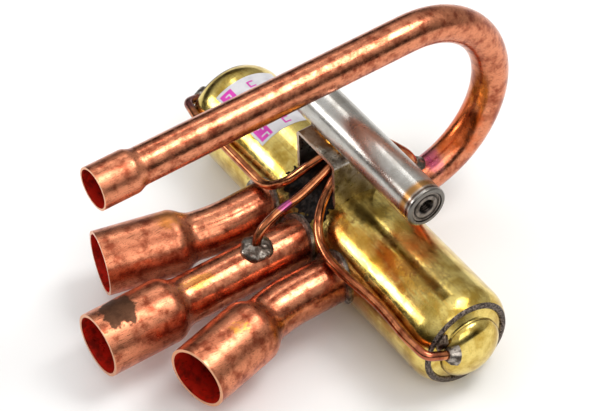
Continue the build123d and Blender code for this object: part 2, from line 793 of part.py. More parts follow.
def largest(shape):
    """The biggest solid of a shape that a cut has divided."""
    return sorted(shape.solids(), key=lambda s: s.volume)[-1]


def suction_braze():
    """Mound of braze where the suction capillary enters the suction pipe."""
    x, y, _ = cap_routes["suction"][-1]
    mound = Pos(x, y, stub_r - 0.4 + 1.3) * Cone(4.9, cap_r + 0.9, 2.6)
    mound = fillet(mound.edges().group_by(Axis.Z)[-1], 0.5)
    mound -= rod((0, -60, 0), (0, -15, 0), stub_r)
    return largest(mound - route_rod(cap_routes["suction"], cap_r + 0.01))


def discharge_braze():
    """Mound of braze where the discharge capillary enters the discharge pipe."""
    points = [Vector(*p) for p in cap_routes["discharge"][-2:]]
    direction = (points[1] - points[0]).normalized()
    base = points[1] + direction * 1.0
    cone = Plane(origin=base, z_dir=-direction) * Pos(0, 0, 1.9) * Cone(4.2, cap_r + 0.6, 3.8)
    pipe = lean(rod((0, disch_root, 0), (0, disch_straight, 0), disch_r)
                + discharge_bend(disch_r))
    return largest(cone - pipe - rod(points[0], base, cap_r + 0.01))


def discharge_bend(radius):
    """Solid bar along the lower half of the discharge pipe's U-bend."""
    y = disch_straight
    r = disch_bend_r
    a = radians(45)
    arc = ThreePointArc((0, y, 0), (0, y + r * sin(a), r - r * cos(a)), (0, y + r, r))
    return sweep(Plane(origin=arc @ 0, z_dir=arc % 0) * Circle(radius), path=arc)


def pilot_capillary_brazes():
    """Small collars of braze around the capillaries under the bracket and on the end plug."""
    collars = []
    top = plate_top - bracket_sheet
    for name in ("left", "suction", "right"):
        x, y, _ = cap_routes[name][0]
        ring = Pos(x, y, top - 0.55) * Cone(cap_r + 0.1, cap_r + 0.45, 1.1)
        collars.append(ring - route_rod(cap_routes[name], cap_r + 0.01))
    face = sleeve_far - end_plug_rim
    ring = Pos(face - 0.6, pilot_y, pilot_z) * Rot(0, 90, 0) * Cone(cap_r + 0.2, cap_r + 1.3, 1.2)
    collars.append(ring - route_rod(cap_routes["discharge"], cap_r + 0.01))
    return Compound(children=[largest(c) for c in collars])


# --- label ------------------------------------------------------------------------------
def label():
    """Paper label wrapped part of the way round the cylinder."""
    x0, x1 = label_span
    ring = bar_x(x0, x1, body_r + label_t) - bar_x(x0 - 1, x1 + 1, body_r + 0.005)
    low, high = label_arc
    reach = 3 * body_r
    middle = (low + high) / 2
    corners = [(0, 0)]
    for angle in (high, middle, low):
        a = radians(angle)
        corners.append((-reach * sin(a), reach * cos(a)))
    wedge = extrude(Plane.YZ * make_face(Polyline(*corners, close=True)), x1 - x0 + 4)
    return ring & (Pos(x0 - 2, 0, 0) * wedge)


# --- build ------------------------------------------------------------------------------
def main():
    """Build and save every piece."""
    rest_x = -travel / 2
    pilot_rest_x = -pilot_travel / 2
    save("body_tube", body_tube())
    save("seam_ring_right", seam_ring())
    save("seam_ring_left", mirror(seam_ring(), about=Plane.YZ))
    for side in ("left", "right"):
        save(f"end_cap_{side}", end_cap(side))
        save(f"boss_braze_{side}", boss_braze(side))
    save("port_tube_left", port_tube(-1))
    save("port_tube_suction", port_tube(0, with_capillary=True))
    save("port_tube_right", port_tube(1))
    save("discharge_tube", discharge_tube())
    roots = [root_braze(x, -1, stub_r + 1.35, stub_r, 1.0) for x in (-port_pitch, 0, port_pitch)]
    save("port_brazes", Compound(children=roots))
    save("discharge_root_braze", root_braze(0, 1, disch_r + 1.8, disch_r, 1.3))
    save("valve_seat", valve_seat())
    save("slide_block", slide_block(rest_x))
    save("slide_frame", slide_frame(rest_x))
    save("slide_spring", slide_spring(rest_x))
    for side, word in ((-1, "left"), (1, "right")):
        for name, shape in piston_pieces(rest_x, side).items():
            save(f"{name}_{word}", shape)
    save("piston_screws", piston_screws(rest_x))
    save("pilot_sleeve", pilot_sleeve())
    save("pilot_core", pilot_core())
    save("pilot_shading_ring", pilot_shading_ring())
    save("pilot_plunger", pilot_plunger())
    save("pilot_return_spring", pilot_return_spring())
    save("pilot_seat", pilot_seat())
    save("pilot_slide", pilot_slide(pilot_rest_x))
    save("pilot_carrier", pilot_carrier(pilot_rest_x))
    save("pilot_leaf_spring", pilot_leaf_spring(pilot_rest_x))
    save("pilot_end_plug", pilot_end_plug())
    save("pilot_bracket", pilot_bracket())
    save("bracket_braze", bracket_braze())
    for name in cap_routes:
        save(f"capillary_{name}", capillary(name))
    save("suction_capillary_braze", suction_braze())
    save("discharge_capillary_braze", discharge_braze())
    save("pilot_capillary_brazes", pilot_capillary_brazes())
    save("label", label())


main()
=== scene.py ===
"""Looks of a four-way diverter valve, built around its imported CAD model.

The CAD nodes keep their shapes, and this script gives each one its finish. It also adds the
traces of making that the CAD leaves out: the coil screw's thread, burnt flux, lumps of braze
and the print on the label. Lengths are millimetres in the CAD's frame unless said otherwise.
"""

import json
import logging
import math
from dataclasses import dataclass, replace
from enum import Enum
from typing import Any, Callable, Iterable, Sequence

import bmesh
import bpy
from mathutils import Matrix, Vector, noise


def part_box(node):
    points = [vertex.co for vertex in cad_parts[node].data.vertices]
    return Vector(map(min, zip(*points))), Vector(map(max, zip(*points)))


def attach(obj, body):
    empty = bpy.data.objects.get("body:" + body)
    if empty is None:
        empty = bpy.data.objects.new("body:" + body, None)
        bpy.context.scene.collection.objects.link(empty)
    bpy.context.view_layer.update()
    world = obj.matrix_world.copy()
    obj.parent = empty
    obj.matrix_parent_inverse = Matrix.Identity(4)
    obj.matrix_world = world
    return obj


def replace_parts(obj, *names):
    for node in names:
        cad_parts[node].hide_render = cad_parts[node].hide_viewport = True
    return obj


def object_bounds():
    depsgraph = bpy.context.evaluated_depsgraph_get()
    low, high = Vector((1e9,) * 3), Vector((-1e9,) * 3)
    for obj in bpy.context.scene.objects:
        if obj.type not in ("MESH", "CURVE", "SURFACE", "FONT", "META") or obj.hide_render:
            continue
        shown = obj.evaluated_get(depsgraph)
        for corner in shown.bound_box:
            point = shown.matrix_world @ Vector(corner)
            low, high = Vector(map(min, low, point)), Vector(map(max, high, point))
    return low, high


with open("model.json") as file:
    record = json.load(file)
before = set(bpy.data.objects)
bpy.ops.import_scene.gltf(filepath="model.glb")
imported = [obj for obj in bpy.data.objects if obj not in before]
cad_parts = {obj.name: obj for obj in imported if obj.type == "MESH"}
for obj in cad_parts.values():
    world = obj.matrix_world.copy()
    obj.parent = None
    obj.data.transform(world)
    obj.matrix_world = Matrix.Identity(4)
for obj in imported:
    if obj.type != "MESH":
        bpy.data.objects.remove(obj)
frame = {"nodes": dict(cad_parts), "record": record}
CAD_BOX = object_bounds()

LOG = logging.getLogger("diverter_valve")
MM = 0.001
VALVE_BODY = "valve_body"
# A ramp between two values that is smooth and holds its ends.
SMOOTH = {"interpolation_type": "SMOOTHSTEP"}
# A mix of two colours, which comes out of the node's third output.
COLOURS = {"data_type": "RGBA", "output": 2}
Point = tuple[float, float, float]
Ends = tuple[float, float]
Socket = bpy.types.NodeSocket


class Slot(Enum):
    """Material slots of the record, by the stock that each piece is made from."""

    BRASS = "brass"
    TURNED_BRASS = "turned_brass"
    SEAM_SOLDER = "seam_solder"
    COPPER = "copper"
    CAPILLARY_COPPER = "capillary_copper"
    BRAZE_GOLD = "braze_gold"
    BRAZE_SILVER = "braze_silver"
    STAINLESS = "stainless"
    CORE_STEEL = "core_steel"
    BRACKET_STEEL = "bracket_steel"
    SHADING_COPPER = "shading_copper"
    SLIDE_POLYMER = "slide_polymer"
    PTFE = "ptfe"
    LABEL_PAPER = "label_paper"
    SPRING_STEEL = "spring_steel"
    SHEET_STEEL = "sheet_steel"


class Grain(Enum):
    """Which way the drawing or turning lines of a metal run."""

    ALONG_X = (1, 0, 0)
    ALONG_Y = (0, 1, 0)
    ROUND_X = (0, 1, 1)
    EVEN = (0, 0, 0)


def linear(colour: str) -> tuple[float, float, float, float]:
    """Turns an sRGB colour into a linear one.

    Args:
        colour: The colour in hex, such as "#C98B5A".

    Returns:
        Linear red, green, blue and alpha.
    """
    parts = [int(colour[i:i + 2], 16) / 255 for i in (1, 3, 5)]
    red, green, blue = (c / 12.92 if c <= 0.04045 else ((c + 0.055) / 1.055) ** 2.4 for c in parts)
    return red, green, blue, 1.0


def add_node(tree: bpy.types.NodeTree, kind: str, inputs: dict[Any, Any] | None = None,
             output: int | str = 0, ramp: Sequence[tuple[float, str]] = (),
             **settings: Any) -> Socket | None:
    """Adds one node with its settings, input values and links.

    Args:
        tree: The tree that gets the node.
        kind: Blender's name for the node's type, after ShaderNode.
        inputs: Values, hex colours or output sockets, by the input's name or number.
        output: The name or number of the output that is wanted.
        ramp: Stops of a colour ramp, as (position, hex colour).
        settings: Properties of the node.

    Returns:
        The wanted output, or None if the node has no outputs.
    """
    node = tree.nodes.new("ShaderNode" + kind)
    for name, value in settings.items():
        setattr(node, name, value)
    for place, (position, colour) in enumerate(ramp):
        stops = node.color_ramp.elements
        stop = stops[place] if place < len(stops) else stops.new(position)
        stop.position = position
        stop.color = linear(colour)
    for key, value in (inputs or {}).items():
        if isinstance(value, Socket):
            tree.links.new(value, node.inputs[key])
        else:
            node.inputs[key].default_value = linear(value) if isinstance(value, str) else value
    return node.outputs[output] if node.outputs else None


class Surface:
    """The growing node tree of one finish, with its place in millimetres."""

    def __init__(self, name: str) -> None:
        """Starts an empty material.

        Args:
            name: Name of the finish.
        """
        self.material = bpy.data.materials.new(name)
        self.material.use_nodes = True
        self.tree = self.material.node_tree
        self.tree.nodes.clear()
        place = add_node(self.tree, "TexCoord", output="Object")
        self.mm = add_node(self.tree, "VectorMath", {0: place, "Scale": 1 / MM}, operation="SCALE")

    def pattern(self, size: float | Point, detail: float = 3.0, rough: float = 0.55) -> Socket:
        """A cloudy pattern whose features have a size in millimetres.

        Args:
            size: One size, or one each along X, Y and Z.
            detail: Octaves.
            rough: How strong the small octaves are.

        Returns:
            The pattern's strength, from 0 to 1.
        """
        each = (size,) * 3 if isinstance(size, (int, float)) else size
        counted = add_node(self.tree, "VectorMath", {0: self.mm, 1: each}, operation="DIVIDE")
        return add_node(self.tree, "TexNoise",
                        {"Vector": counted, "Scale": 1.0, "Detail": detail, "Roughness": rough}, "Fac")

    def distance(self, at: Point, reach: Point = (1, 1, 1)) -> Socket:
        """How far the place is from a point, counted in reaches along X, Y and Z.

        Args:
            at: The point, in millimetres.
            reach: What counts as 1 along each axis, in millimetres.

        Returns:
            The distance.
        """
        offset = add_node(self.tree, "VectorMath", {0: self.mm, 1: at}, operation="SUBTRACT")
        counted = add_node(self.tree, "VectorMath", {0: offset, 1: reach}, operation="DIVIDE")
        return add_node(self.tree, "VectorMath", {0: counted}, "Value", operation="LENGTH")

    def all_of(self, *shares: Socket) -> Socket:
        """How far several things hold at once.

        Args:
            shares: How far each one holds, from 0 to 1.

        Returns:
            Their product.
        """
        whole = shares[0]
        for share in shares[1:]:
            whole = add_node(self.tree, "Math", {0: whole, 1: share}, operation="MULTIPLY")
        return whole

    def finish(self, colour: Socket, roughness: Socket | float, metallic: Socket | float, height: Socket,
               relief: float, **values: Any) -> bpy.types.Material:
        """Adds the shader with its relief and returns the material.

        Args:
            colour: The surface's colour.
            roughness: The surface's roughness.
            metallic: 1 for a metal, 0 for paper or plastic.
            height: The relief's shape, from 0 to 1.
            relief: The relief's height in millimetres.
            values: More of the shader's own inputs, with spaces written as underscores.

        Returns:
            The finished material.
        """
        bump = add_node(self.tree, "Bump", {"Strength": 1.0, "Distance": relief * MM, "Height": height})
        inputs = {"Base Color": colour, "Roughness": roughness, "Metallic": metallic, "Normal": bump}
        inputs.update({name.replace("_", " "): value for name, value in values.items()})
        shader = add_node(self.tree, "BsdfPrincipled", inputs)
        add_node(self.tree, "OutputMaterial", {0: shader})
        return self.material


@dataclass(frozen=True)
class Stain:
    """A ragged patch of colour round a point: heat tint, oxide or flux, and in some places painted
    reflection and painted shade.

    Attributes:
        at: Its middle, in millimetres.
        reach: How far it goes along X, Y and Z.
        colour: Its colour.
        strength: How much it covers, up to 1.
        ragged: How far its edge wanders, in reaches.
        grit: Size of the edge's rags, one for all or one along each axis.
        dulls: Roughness that it adds.
        solid: Where its edge begins to fade, in reaches.
    """

    at: Point
    reach: Point
    colour: str
    strength: float = 0.8
    ragged: float = 0.5
    grit: float | Point = 3.0
    dulls: float = 0.0
    solid: float = 0.45

    def share(self, surface: Surface) -> Socket:
        """How much of the place the patch covers.

        Args:
            surface: The finish that it lies on.

        Returns:
            Its cover, from 0 to its strength.
        """
        tree = surface.tree
        rags = surface.pattern(self.grit, 4)
        edge = add_node(tree, "Math", {0: rags, 1: self.ragged, 2: -self.ragged / 2},
                        operation="MULTIPLY_ADD")
        away = add_node(tree, "Math", {0: surface.distance(self.at, self.reach), 1: edge})
        return add_node(tree, "MapRange", {0: away, 1: self.solid, 3: self.strength, 4: 0.0}, **SMOOTH)


@dataclass(frozen=True)
class Metal:
    """A bare metal with blotches, lines from drawing or turning, pits and stains.

    Real lines and pits are a few hundredths of a millimetre wide. They are drawn some tenths of a
    millimetre wide, so that they show.

    Attributes:
        blotch_share: Where a blotch starts and is full, as strengths of its pattern.
        line: Width and length of a line.
        line_share: How dark the lines are.
        relief: Height of lines and pits.
        pit_colour: Colour of pits and lines.
        pit_share: How dark the pits are.
        patches: Its stains, and the patches of painted reflection and painted shade, the lowest first.
    """

    name: str
    light: str
    dark: str
    roughness: tuple[float, float]
    blotch: float = 7.0
    blotch_share: tuple[float, float] = (0.42, 0.68)
    grain: Grain = Grain.EVEN
    line: tuple[float, float] = (0.35, 9.0)
    line_share: float = 0.3
    relief: float = 0.006
    pit: float = 0.55
    pit_colour: str = "#4A2A1C"
    pit_share: float = 0.5
    stains: tuple[Stain, ...] = ()

    def line_size(self) -> Point:
        """Size of one line along X, Y and Z: short across the grain and long along it."""
        across, along = self.line
        return tuple(along if flag else across for flag in self.grain.value)

    def detail(self, surface: Surface, colour: Socket, rough: Socket) -> tuple[Socket, Socket]:
        """Adds what only one kind of metal has. The plain metal adds nothing."""
        return colour, rough

    def metallic(self, surface: Surface) -> Socket | float:
        """How metallic the surface is: all of it, unless a kind of metal says otherwise."""
        return 1.0

    def material(self) -> bpy.types.Material:
        """Builds the finish.

        Returns:
            It as a material.
        """
        surface = Surface(self.name)
        tree = surface.tree
        start, full = self.blotch_share
        cloud = surface.pattern(self.blotch, 5, 0.62)
        blotches = add_node(tree, "MapRange", {0: cloud, 1: start, 2: full}, **SMOOTH)
        colour = add_node(tree, "Mix", {0: blotches, 6: self.light, 7: self.dark}, **COLOURS)
        lines = surface.pattern(self.line_size(), 3, 0.6)
        streaks = add_node(tree, "MapRange", {0: lines, 1: 0.54, 2: 0.7, 4: self.line_share}, **SMOOTH)
        colour = add_node(tree, "Mix", {0: streaks, 6: colour, 7: self.pit_colour}, **COLOURS)
        specks = surface.pattern(self.pit, 2)
        pits = add_node(tree, "MapRange", {0: specks, 1: 0.62, 2: 0.72, 4: self.pit_share}, **SMOOTH)
        colour = add_node(tree, "Mix", {0: pits, 6: colour, 7: self.pit_colour}, **COLOURS)
        smooth, rougher = self.roughness
        wear = surface.pattern(self.blotch * 0.6, 4)
        rough = add_node(tree, "MapRange", {0: wear, 1: 0.3, 2: 0.7, 3: smooth, 4: rougher}, **SMOOTH)
        rough = add_node(tree, "Math", {0: pits, 1: 0.2, 2: rough}, operation="MULTIPLY_ADD")
        for stain in self.stains:
            share = stain.share(surface)
            colour = add_node(tree, "Mix", {0: share, 6: colour, 7: stain.colour}, **COLOURS)
            rough = add_node(tree, "Math", {0: share, 1: stain.dulls, 2: rough}, operation="MULTIPLY_ADD")
        colour, rough = self.detail(surface, colour, rough)
        height = add_node(tree, "Math", {0: lines, 1: 0.7}, operation="MULTIPLY")
        height = add_node(tree, "Math", {0: height, 1: pits}, operation="SUBTRACT")
        return surface.finish(colour, rough, self.metallic(surface), height, self.relief)


@dataclass(frozen=True)
class SocketBore:
    """The inside of a pipe's mouth, where copper reflects only copper: its red is painted reflection,
    darker deeper in as painted shade.
    """

    mouth: Point
    inward: Point
    radius: float
    wall: float
    depth: float

    def place(self, surface: Surface) -> tuple[Socket, Socket]:
        """Where the place is in the bore.

        Args:
            surface: The finish.

        Returns:
            How far in from the mouth it is, and how far from the bore's axis.
        """
        tree = surface.tree
        offset = add_node(tree, "VectorMath", {0: surface.mm, 1: self.mouth}, operation="SUBTRACT")
        depth = add_node(tree, "VectorMath", {0: offset, 1: self.inward}, "Value",
                         operation="DOT_PRODUCT")
        across = add_node(tree, "VectorMath", {0: offset, 1: self.inward}, operation="CROSS_PRODUCT")
        radius = add_node(tree, "VectorMath", {0: across}, "Value", operation="LENGTH")
        return depth, radius

    def zone(self, surface: Surface, place: tuple[Socket, Socket], nearest: float, deepest: float,
             widest: float) -> Socket:
        """1 in a stretch of the pipe and 0 elsewhere.

        Args:
            surface: The finish.
            place: Depth and radius of the place.
            nearest: Where the stretch starts, as a depth.
            deepest: Where it ends, as a depth.
            widest: Its largest radius.

        Returns:
            The share.
        """
        depth, radius = place
        limits = ((depth, nearest, "GREATER_THAN"), (depth, deepest, "LESS_THAN"),
                  (radius, widest, "LESS_THAN"))
        return surface.all_of(*(add_node(surface.tree, "Math", {0: value, 1: limit}, operation=test)
                                for value, limit, test in limits))


@dataclass(frozen=True)
class TubeCopper(Metal):
    """Annealed copper tube, satin from pickling, with bores painted red as painted reflection and darker
    deeper in as painted shade, and pale cut rims.

    Past a bore's depth, the socket narrows to the pipe over the length of taper.
    """

    bores: tuple[SocketBore, ...] = ()
    bore_colour: str = "#E8301C"
    deep_colour: str = "#A01008"
    smoke_colour: str = "#5A1A10"
    rim_colour: str = "#DDA27C"
    bore_metallic: float = 0.6
    socket_dulls: float = 0.1
    taper: float = 9.0
    cut: float = 0.12

    def within(self, surface: Surface, bore: SocketBore, place: tuple[Socket, Socket]) -> Socket:
        """1 on the bore's wall and 0 elsewhere."""
        return bore.zone(surface, place, self.cut, bore.depth + 1.0, bore.radius + bore.wall * 0.4)

    def detail(self, surface: Surface, colour: Socket, rough: Socket) -> tuple[Socket, Socket]:
        """Paints each bore red as painted reflection, darker deeper in as painted shade, brightens each cut
        rim and dulls each socket.

        Args:
            surface: The finish.
            colour: Its colour.
            rough: Its roughness.

        Returns:
            The new colour and roughness.
        """
        tree = surface.tree
        cloud = surface.pattern(4.0, 5, 0.65)
        smoke = add_node(tree, "MapRange", {0: cloud, 1: 0.42, 2: 0.7, 4: 0.75}, **SMOOTH)
        for bore in self.bores:
            place = bore.place(surface)
            depth = place[0]
            # Painted reflection and painted shade: the bore's red, darker towards its depth.
            down = add_node(tree, "MapRange", {0: depth, 1: 1.0, 2: bore.depth}, **SMOOTH)
            red = add_node(tree, "Mix", {0: down, 6: self.bore_colour, 7: self.deep_colour}, **COLOURS)
            red = add_node(tree, "Mix", {0: smoke, 6: red, 7: self.smoke_colour}, **COLOURS)
            inside = self.within(surface, bore, place)
            colour = add_node(tree, "Mix", {0: inside, 6: colour, 7: red}, **COLOURS)
            end = bore.depth + self.taper
            fading = add_node(tree, "MapRange", {0: depth, 1: bore.depth, 2: end, 3: 1.0, 4: 0.0},
                              **SMOOTH)
            worked = surface.all_of(fading, bore.zone(surface, place, -1.0, end, bore.radius + 3.0))
            rough = add_node(tree, "Math", {0: worked, 1: self.socket_dulls, 2: rough},
                             operation="MULTIPLY_ADD")
            rim = bore.zone(surface, place, -1.0, self.cut, bore.radius + bore.wall + 0.5)
            colour = add_node(tree, "Mix", {0: rim, 6: colour, 7: self.rim_colour}, **COLOURS)
        return colour, rough

    def metallic(self, surface: Surface) -> Socket | float:
        """Less metallic in the bores, where the oxide scatters the light.

        Args:
            surface: The finish.

        Returns:
            How metallic the surface is.
        """
        metallic = 1.0
        for bore in self.bores:
            metallic = add_node(surface.tree, "Math",
                                {0: self.within(surface, bore, bore.place(surface)),
                                 1: self.bore_metallic - 1.0, 2: metallic},
                                operation="MULTIPLY_ADD")
        return metallic


@dataclass(frozen=True)
class Band:
    """A coloured band between two distances, along an axis or round it.

    Attributes:
        low: Where it starts, in millimetres.
        high: Where it ends.
        colour: Its colour.
        strength: How much it covers, up to 1.
        solid: Where its edge begins to fade, as a share of its half width.
        fade: Where its edge ends, as a share of its half width.
    """

    low: float
    high: float
    colour: str
    strength: float
    solid: float = 0.8
    fade: float = 1.1

    def over(self, surface: Surface, colour: Socket, along: Socket) -> Socket:
        """Lays the band over a colour.

        Args:
            surface: The finish.
            colour: The colour below.
            along: The distance that the band is measured by.

        Returns:
            The new colour.
        """
        tree = surface.tree
        half = (self.high - self.low) / 2
        off = add_node(tree, "Math", {0: along, 1: self.low + half}, operation="SUBTRACT")
        off = add_node(tree, "Math", {0: off}, operation="ABSOLUTE")
        share = add_node(tree, "MapRange",
                         {0: off, 1: half * self.solid, 2: half * self.fade, 3: self.strength, 4: 0.0},
                         **SMOOTH)
        return add_node(tree, "Mix", {0: share, 6: colour, 7: self.colour}, **COLOURS)


@dataclass(frozen=True)
class TurnedFace(Metal):
    """A turned end face with darker and brighter bands round its axis along X, by their radius."""

    axis_y: float = 0.0
    axis_z: float = 0.0
    bands: tuple[Band, ...] = ()

    def detail(self, surface: Surface, colour: Socket, rough: Socket) -> tuple[Socket, Socket]:
        """Lays each band over the face. Distances along X don't count.

        Args:
            surface: The finish.
            colour: Its colour.
            rough: Its roughness.

        Returns:
            The new colour and roughness.
        """
        endless = 1e6
        radius = surface.distance((0.0, self.axis_y, self.axis_z), (endless, 1.0, 1.0))
        for band in self.bands:
            colour = band.over(surface, colour, radius)
        return colour, rough


@dataclass(frozen=True)
class TemperedSteel(Metal):
    """Polished stainless steel with temper rings and bands of painted shade by their place along X, which
    wander a little.
    """

    rings: tuple[Band, ...] = ()
    wander: float = 0.8

    def detail(self, surface: Surface, colour: Socket, rough: Socket) -> tuple[Socket, Socket]:
        """Adds each temper ring and each band of painted shade.

        Args:
            surface: The finish.
            colour: Its colour.
            rough: Its roughness.

        Returns:
            The new colour and roughness.
        """
        tree = surface.tree
        along = add_node(tree, "SeparateXYZ", {0: surface.mm}, "X")
        level = add_node(tree, "Math", {0: along, 1: -self.wander / 2})
        along = add_node(tree, "Math", {0: surface.pattern(4.0, 3), 1: self.wander, 2: level},
                         operation="MULTIPLY_ADD")
        for ring in self.rings:
            colour = ring.over(surface, colour, along)
        return colour, rough


@dataclass(frozen=True)
class SheetEdge(Metal):
    """Hot rolled steel sheet whose sheared edges, facing along Y, are bare and bright."""

    edge: str = "#D9CFC2"

    def detail(self, surface: Surface, colour: Socket, rough: Socket) -> tuple[Socket, Socket]:
        """Brightens the faces that look along Y.

        Args:
            surface: The finish.
            colour: Its colour.
            rough: Its roughness.

        Returns:
            The new colour and roughness.
        """
        tree = surface.tree
        normal = add_node(tree, "TexCoord", output="Normal")
        facing = add_node(tree, "SeparateXYZ", {0: normal}, "Y")
        facing = add_node(tree, "Math", {0: facing}, operation="ABSOLUTE")
        share = add_node(tree, "MapRange", {0: facing, 1: 0.8, 2: 0.95, 4: 0.75}, **SMOOTH)
        return add_node(tree, "Mix", {0: share, 6: colour, 7: self.edge}, **COLOURS), rough


@dataclass(frozen=True)
class CastLumps:
    """Solder, braze or flux that froze in lumps: dull skin with brighter tops.

    Light is the colour of the tops, dark that of the hollows, and lump is a lump's size.
    """

    name: str
    light: str
    dark: str
    roughness: tuple[float, float]
    metallic: float
    lump: float = 1.1
    relief: float = 0.12
    shine: float = 0.5

    def material(self) -> bpy.types.Material:
        """Builds the finish.

        Returns:
            It as a material.
        """
        surface = Surface(self.name)
        tree = surface.tree
        smooth, rougher = self.roughness
        lumps = surface.pattern(self.lump, 4, 0.6)
        grit = surface.pattern(self.lump / 5, 3)
        tops = add_node(tree, "MapRange", {0: lumps, 1: 0.4, 2: 0.62}, **SMOOTH)
        colour = add_node(tree, "Mix", {0: tops, 6: self.dark, 7: self.light}, **COLOURS)
        specks = add_node(tree, "MapRange", {0: grit, 1: 0.58, 2: 0.7, 4: 0.5}, **SMOOTH)
        colour = add_node(tree, "Mix", {0: specks, 6: colour, 7: self.dark}, **COLOURS)
        rough = add_node(tree, "MapRange", {0: lumps, 1: 0.35, 2: 0.65, 3: rougher, 4: smooth}, **SMOOTH)
        height = add_node(tree, "Math", {0: grit, 1: 0.25, 2: lumps}, operation="MULTIPLY_ADD")
        return surface.finish(colour, rough, self.metallic, height, self.relief,
                              Specular_IOR_Level=self.shine)


@dataclass(frozen=True)
class Moulded:
    """Plastic, film or ink: a soft, even colour with a faint cloud and a fine skin."""

    name: str
    light: str
    dark: str
    roughness: tuple[float, float]
    cloud: float = 5.0
    skin: float = 0.12
    relief: float = 0.004

    def material(self) -> bpy.types.Material:
        """Builds the finish.

        Returns:
            It as a material.
        """
        surface = Surface(self.name)
        tree = surface.tree
        smooth, rougher = self.roughness
        clouds = add_node(tree, "MapRange", {0: surface.pattern(self.cloud, 4), 1: 0.35, 2: 0.7}, **SMOOTH)
        colour = add_node(tree, "Mix", {0: clouds, 6: self.light, 7: self.dark}, **COLOURS)
        skin = surface.pattern(self.skin, 2)
        rough = add_node(tree, "MapRange", {0: skin, 1: 0.3, 2: 0.7, 3: smooth, 4: rougher}, **SMOOTH)
        return surface.finish(colour, rough, 0.0, skin, self.relief, IOR=1.5)


def clean_mesh(shape: bmesh.types.BMesh, merge: float = 0.002) -> None:
    """Merges corners closer than a distance in millimetres and turns every face outwards."""
    bmesh.ops.remove_doubles(shape, verts=shape.verts, dist=merge * MM)
    bmesh.ops.recalc_face_normals(shape, faces=shape.faces)


def piece_from(shape: bmesh.types.BMesh, name: str, material: bpy.types.Material,
               crease: float = 70.0) -> bpy.types.Object:
    """Turns a bmesh into a finished piece that rides on the valve body.

    Args:
        shape: The mesh, in metres and in place. It is freed.
        name: The piece's name.
        material: Its finish.
        crease: Edges sharper than this, in degrees, stay sharp.

    Returns:
        The new object.
    """
    mesh = bpy.data.meshes.new(name)
    shape.to_mesh(mesh)
    shape.free()
    mesh.shade_smooth()
    mesh.set_sharp_from_angle(angle=math.radians(crease))
    mesh.materials.append(material)
    piece = bpy.data.objects.new(name, mesh)
    bpy.context.scene.collection.objects.link(piece)
    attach(piece, VALVE_BODY)
    return piece


@dataclass
class Cylinder:
    """The valve's cylinder: its axis runs along X."""

    radius: float
    y: float
    z: float

    def at(self, x: float, radius: float, degrees: float) -> Vector:
        """A point in metres, by its radius and its angle from the top towards the side pipes."""
        turn = math.radians(degrees)
        return Vector((x, self.y - radius * math.sin(turn), self.z + radius * math.cos(turn))) * MM

    def skin(self, x: float, degrees: float) -> Point:
        """A place on the cylinder's skin, in millimetres."""
        return tuple(self.at(x, self.radius, degrees) / MM)

    def axis_point(self, face: bmesh.types.BMFace) -> Vector:
        """The point of the axis beside a face, in metres."""
        return Vector((face.calc_center_median().x, self.y * MM, self.z * MM))

    def patch(self, x: Ends, turn: Ends, lift: float, thick: float, cells: tuple[int, int],
              keep: Callable[[float, float], bool] | None = None,
              swell: Callable[[Vector], float] | None = None) -> bmesh.types.BMesh:
        """A thin sheet wrapped on the cylinder.

        Args:
            x: Its ends along the cylinder.
            turn: Its ends round the cylinder, in degrees from the top.
            lift: Gap between the cylinder and the sheet's underside.
            thick: The sheet's thickness.
            cells: Faces along and round.
            keep: Says from two coordinates of -1 to 1 whether a point stays.
            swell: Extra height in millimetres at a point of the cylinder.

        Returns:
            The sheet as a closed bmesh.
        """
        shape = bmesh.new()
        bmesh.ops.create_grid(shape, x_segments=cells[0], y_segments=cells[1], size=1.0)
        if keep:
            lost = [v for v in shape.verts if not keep(v.co.x, v.co.y)]
            bmesh.ops.delete(shape, geom=lost, context="VERTS")
        for vert in shape.verts:
            along = x[0] + (x[1] - x[0]) * (vert.co.x + 1) / 2
            degrees = turn[0] + (turn[1] - turn[0]) * (vert.co.y + 1) / 2
            base = self.at(along, self.radius, degrees)
            height = lift + thick + (swell(base / MM) if swell else 0.0)
            vert.co = self.at(along, self.radius + height, degrees)
        bmesh.ops.recalc_face_normals(shape, faces=shape.faces)
        outward = sum((f.normal.dot(f.calc_center_median() - self.axis_point(f)) for f in shape.faces), 0.0)
        if outward < 0:
            bmesh.ops.reverse_faces(shape, faces=shape.faces)
        bmesh.ops.solidify(shape, geom=shape.faces, thickness=thick * MM)
        bmesh.ops.recalc_face_normals(shape, faces=shape.faces)
        return shape


@dataclass(frozen=True)
class Drop:
    """A frozen drop: a ball with half sizes in millimetres, dented. The seed moves the dents."""

    size: Point
    bumps: float
    bump_size: float
    seed: float
    finer: int = 4

    def shape(self, at: Vector, turn: Matrix | None = None) -> bmesh.types.BMesh:
        """Shapes the drop.

        Args:
            at: Its middle, in metres.
            turn: Its rotation.

        Returns:
            The drop as a closed bmesh.
        """
        ball = bmesh.new()
        bmesh.ops.create_icosphere(ball, subdivisions=self.finer, radius=1.0)
        for vert in ball.verts:
            spot = Vector(c * s for c, s in zip(vert.co, self.size))
            wave = noise.noise(spot / self.bump_size + Vector((self.seed, 0, 0)))
            wave += 0.5 * noise.noise(spot / self.bump_size * 2.3 + Vector((0, self.seed, 0)))
            vert.co = (spot + vert.co * wave * self.bumps) * MM
        if turn:
            bmesh.ops.rotate(ball, verts=ball.verts, cent=(0, 0, 0), matrix=turn)
        bmesh.ops.translate(ball, verts=ball.verts, vec=at)
        clean_mesh(ball)
        return ball


